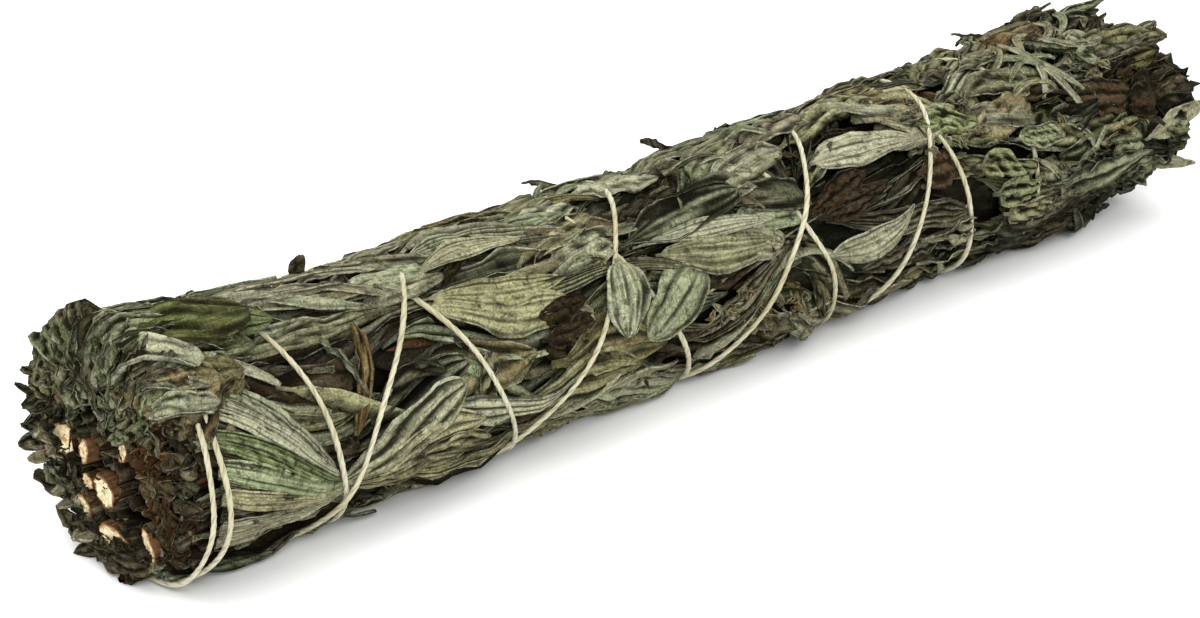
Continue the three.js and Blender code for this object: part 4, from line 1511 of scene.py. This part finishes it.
def add_leaf_head(x, angle, radius, size, count, tone):
    """A rounded bunch of small crinkled leaves at a sprig's end, folded in over each other round a
    middle that points along the bundle."""
    middle = to_points(np.array(x), np.array(angle), radius)
    out = outward(np.array(angle))
    ahead = unit(np.array([1.0, 0, 0]) + out * between(-0.1, 0.5) * radius / BODY_RADIUS)
    across = unit(np.cross(ahead, out))
    up = np.cross(across, ahead)
    low = float(smoothstep(-math.cos(math.radians(angle)), -0.1, 0.5))
    brown, light, green = tone
    for k in range(count):
        turn = 2.4 * k + between(-0.3, 0.3)
        ball = size * between(0.7, 1.05)
        sweep = np.radians(np.linspace(between(35, 70), between(130, 175), 9))
        away = across * math.cos(turn) + up * math.sin(turn)
        normals = away * np.sin(sweep)[:, None] - ahead * np.cos(sweep)[:, None]
        ways = away * np.cos(sweep)[:, None] + ahead * np.sin(sweep)[:, None]
        light_here = float(np.clip(light + spread(0.18), 0.03, 1))
        shade = [brown, light_here, green * between(0.6, 1), chance()]
        # a little painted shade darkens each leaf
        pile_at(x, angle).add(*skin(
            (middle + ball * normals, ways, normals), ball * (sweep[-1] - sweep[0]),
            ball * between(0.8, 1.3), 9, 7, shade, hold="loose", reach=4.6 - 3.0 * low, cup=-0.7 / ball,
            fullness=0.5, stalk=0.02, ragged=0.2, depth=0.1, **drawn(
                seed=(0, 6), pleats=(0.4, 1.3), pleat_count=(1, 2.5), crumple=(0.3, 0.7), crease=(2, 4),
                ruffle=(0.4, 1.0), ruffle_length=(2.5, 4.5),
            ), **curls(),
        ))


# ---- The leaves' pieces ----


def finish_leaves():
    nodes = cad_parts
    for pile in piles:
        piece = pile.build(LEAF)
        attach(piece, "root")
        sprig = pile.name[: len("sprig_00")]
        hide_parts(*[n for n in nodes if n == sprig + "_foliage" or n.startswith(sprig + "_leaf")])
    piece = heart_pile.build(LEAF)
    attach(piece, "root")
    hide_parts("heart_foliage")
    print("leaf triangles:", sum(2 * len(quads) for pile in (*piles, heart_pile) for quads in pile.quads))


# The order in which they draw random numbers.
add_heart_leaves()
add_inner_leaves()
add_outer_leaves()
add_crumbs()
add_show_leaves()
add_covers()
add_hooks()
add_stalks()
add_folded_leaves()
add_face_leaves()
add_rim_ends()
add_rim_ring()
add_nubs()
add_cut_stalks()
add_hidden_stem()
add_felted_curls()
add_green_leaf()
add_tip_leaves()
add_tip_strands()
add_pale_tips()
add_leaf_heads()
add_moss()
add_shoulder_leaves()
finish_leaves()


# ---- Stage ----

AMBIENT = 0.35  # the strength of the white world as light: to the camera it is 1


def floor_material():
    n = Nodes(bpy.data.materials.new("white_floor"))
    grain = n.noise(n.place(), 30.0, 2.0)
    return n.surface(n.mix(grain, (248, 248, 246), (250, 250, 250)), 0.9, 0.1)


def add_floor():
    bpy.ops.mesh.primitive_plane_add(size=8, location=(0, 0, cad_box[0][2] - 0.0001))
    floor = bpy.context.object
    floor.name = "floor"
    floor.data.materials.append(floor_material())


def add_light(name, location, size, power):
    data = bpy.data.lights.new(name, "AREA")
    data.shape = "DISK"
    data.size = size
    data.energy = power
    lamp = bpy.data.objects.new(name, data)
    lamp.location = location
    lamp.rotation_euler = (-Vector(location)).to_track_quat("-Z", "Y").to_euler()
    bpy.context.scene.collection.objects.link(lamp)


def add_world():
    world = bpy.data.worlds.new("studio")
    n = Nodes(world)
    path = n.add("LightPath")
    seen = n.math("MAXIMUM", path.outputs["Is Camera Ray"], path.outputs["Is Glossy Ray"])
    seen = n.math("MAXIMUM", seen, path.outputs["Is Transmission Ray"])
    background = n.add("Background")
    background.inputs["Color"].default_value = (1, 1, 1, 1)
    n.link(n.math("MULTIPLY_ADD", seen, 1 - AMBIENT, AMBIENT), background.inputs["Strength"])
    n.link(background.outputs[0], n.add("OutputWorld").inputs["Surface"])
    bpy.context.scene.world = world


add_floor()
add_light("key", (-0.1, 0.0, 1.1), 2.8, 38)
add_light("front", (-0.6, -0.9, 0.7), 0.6, 10)
add_world()
bpy.context.scene.view_settings.view_transform = "Standard"
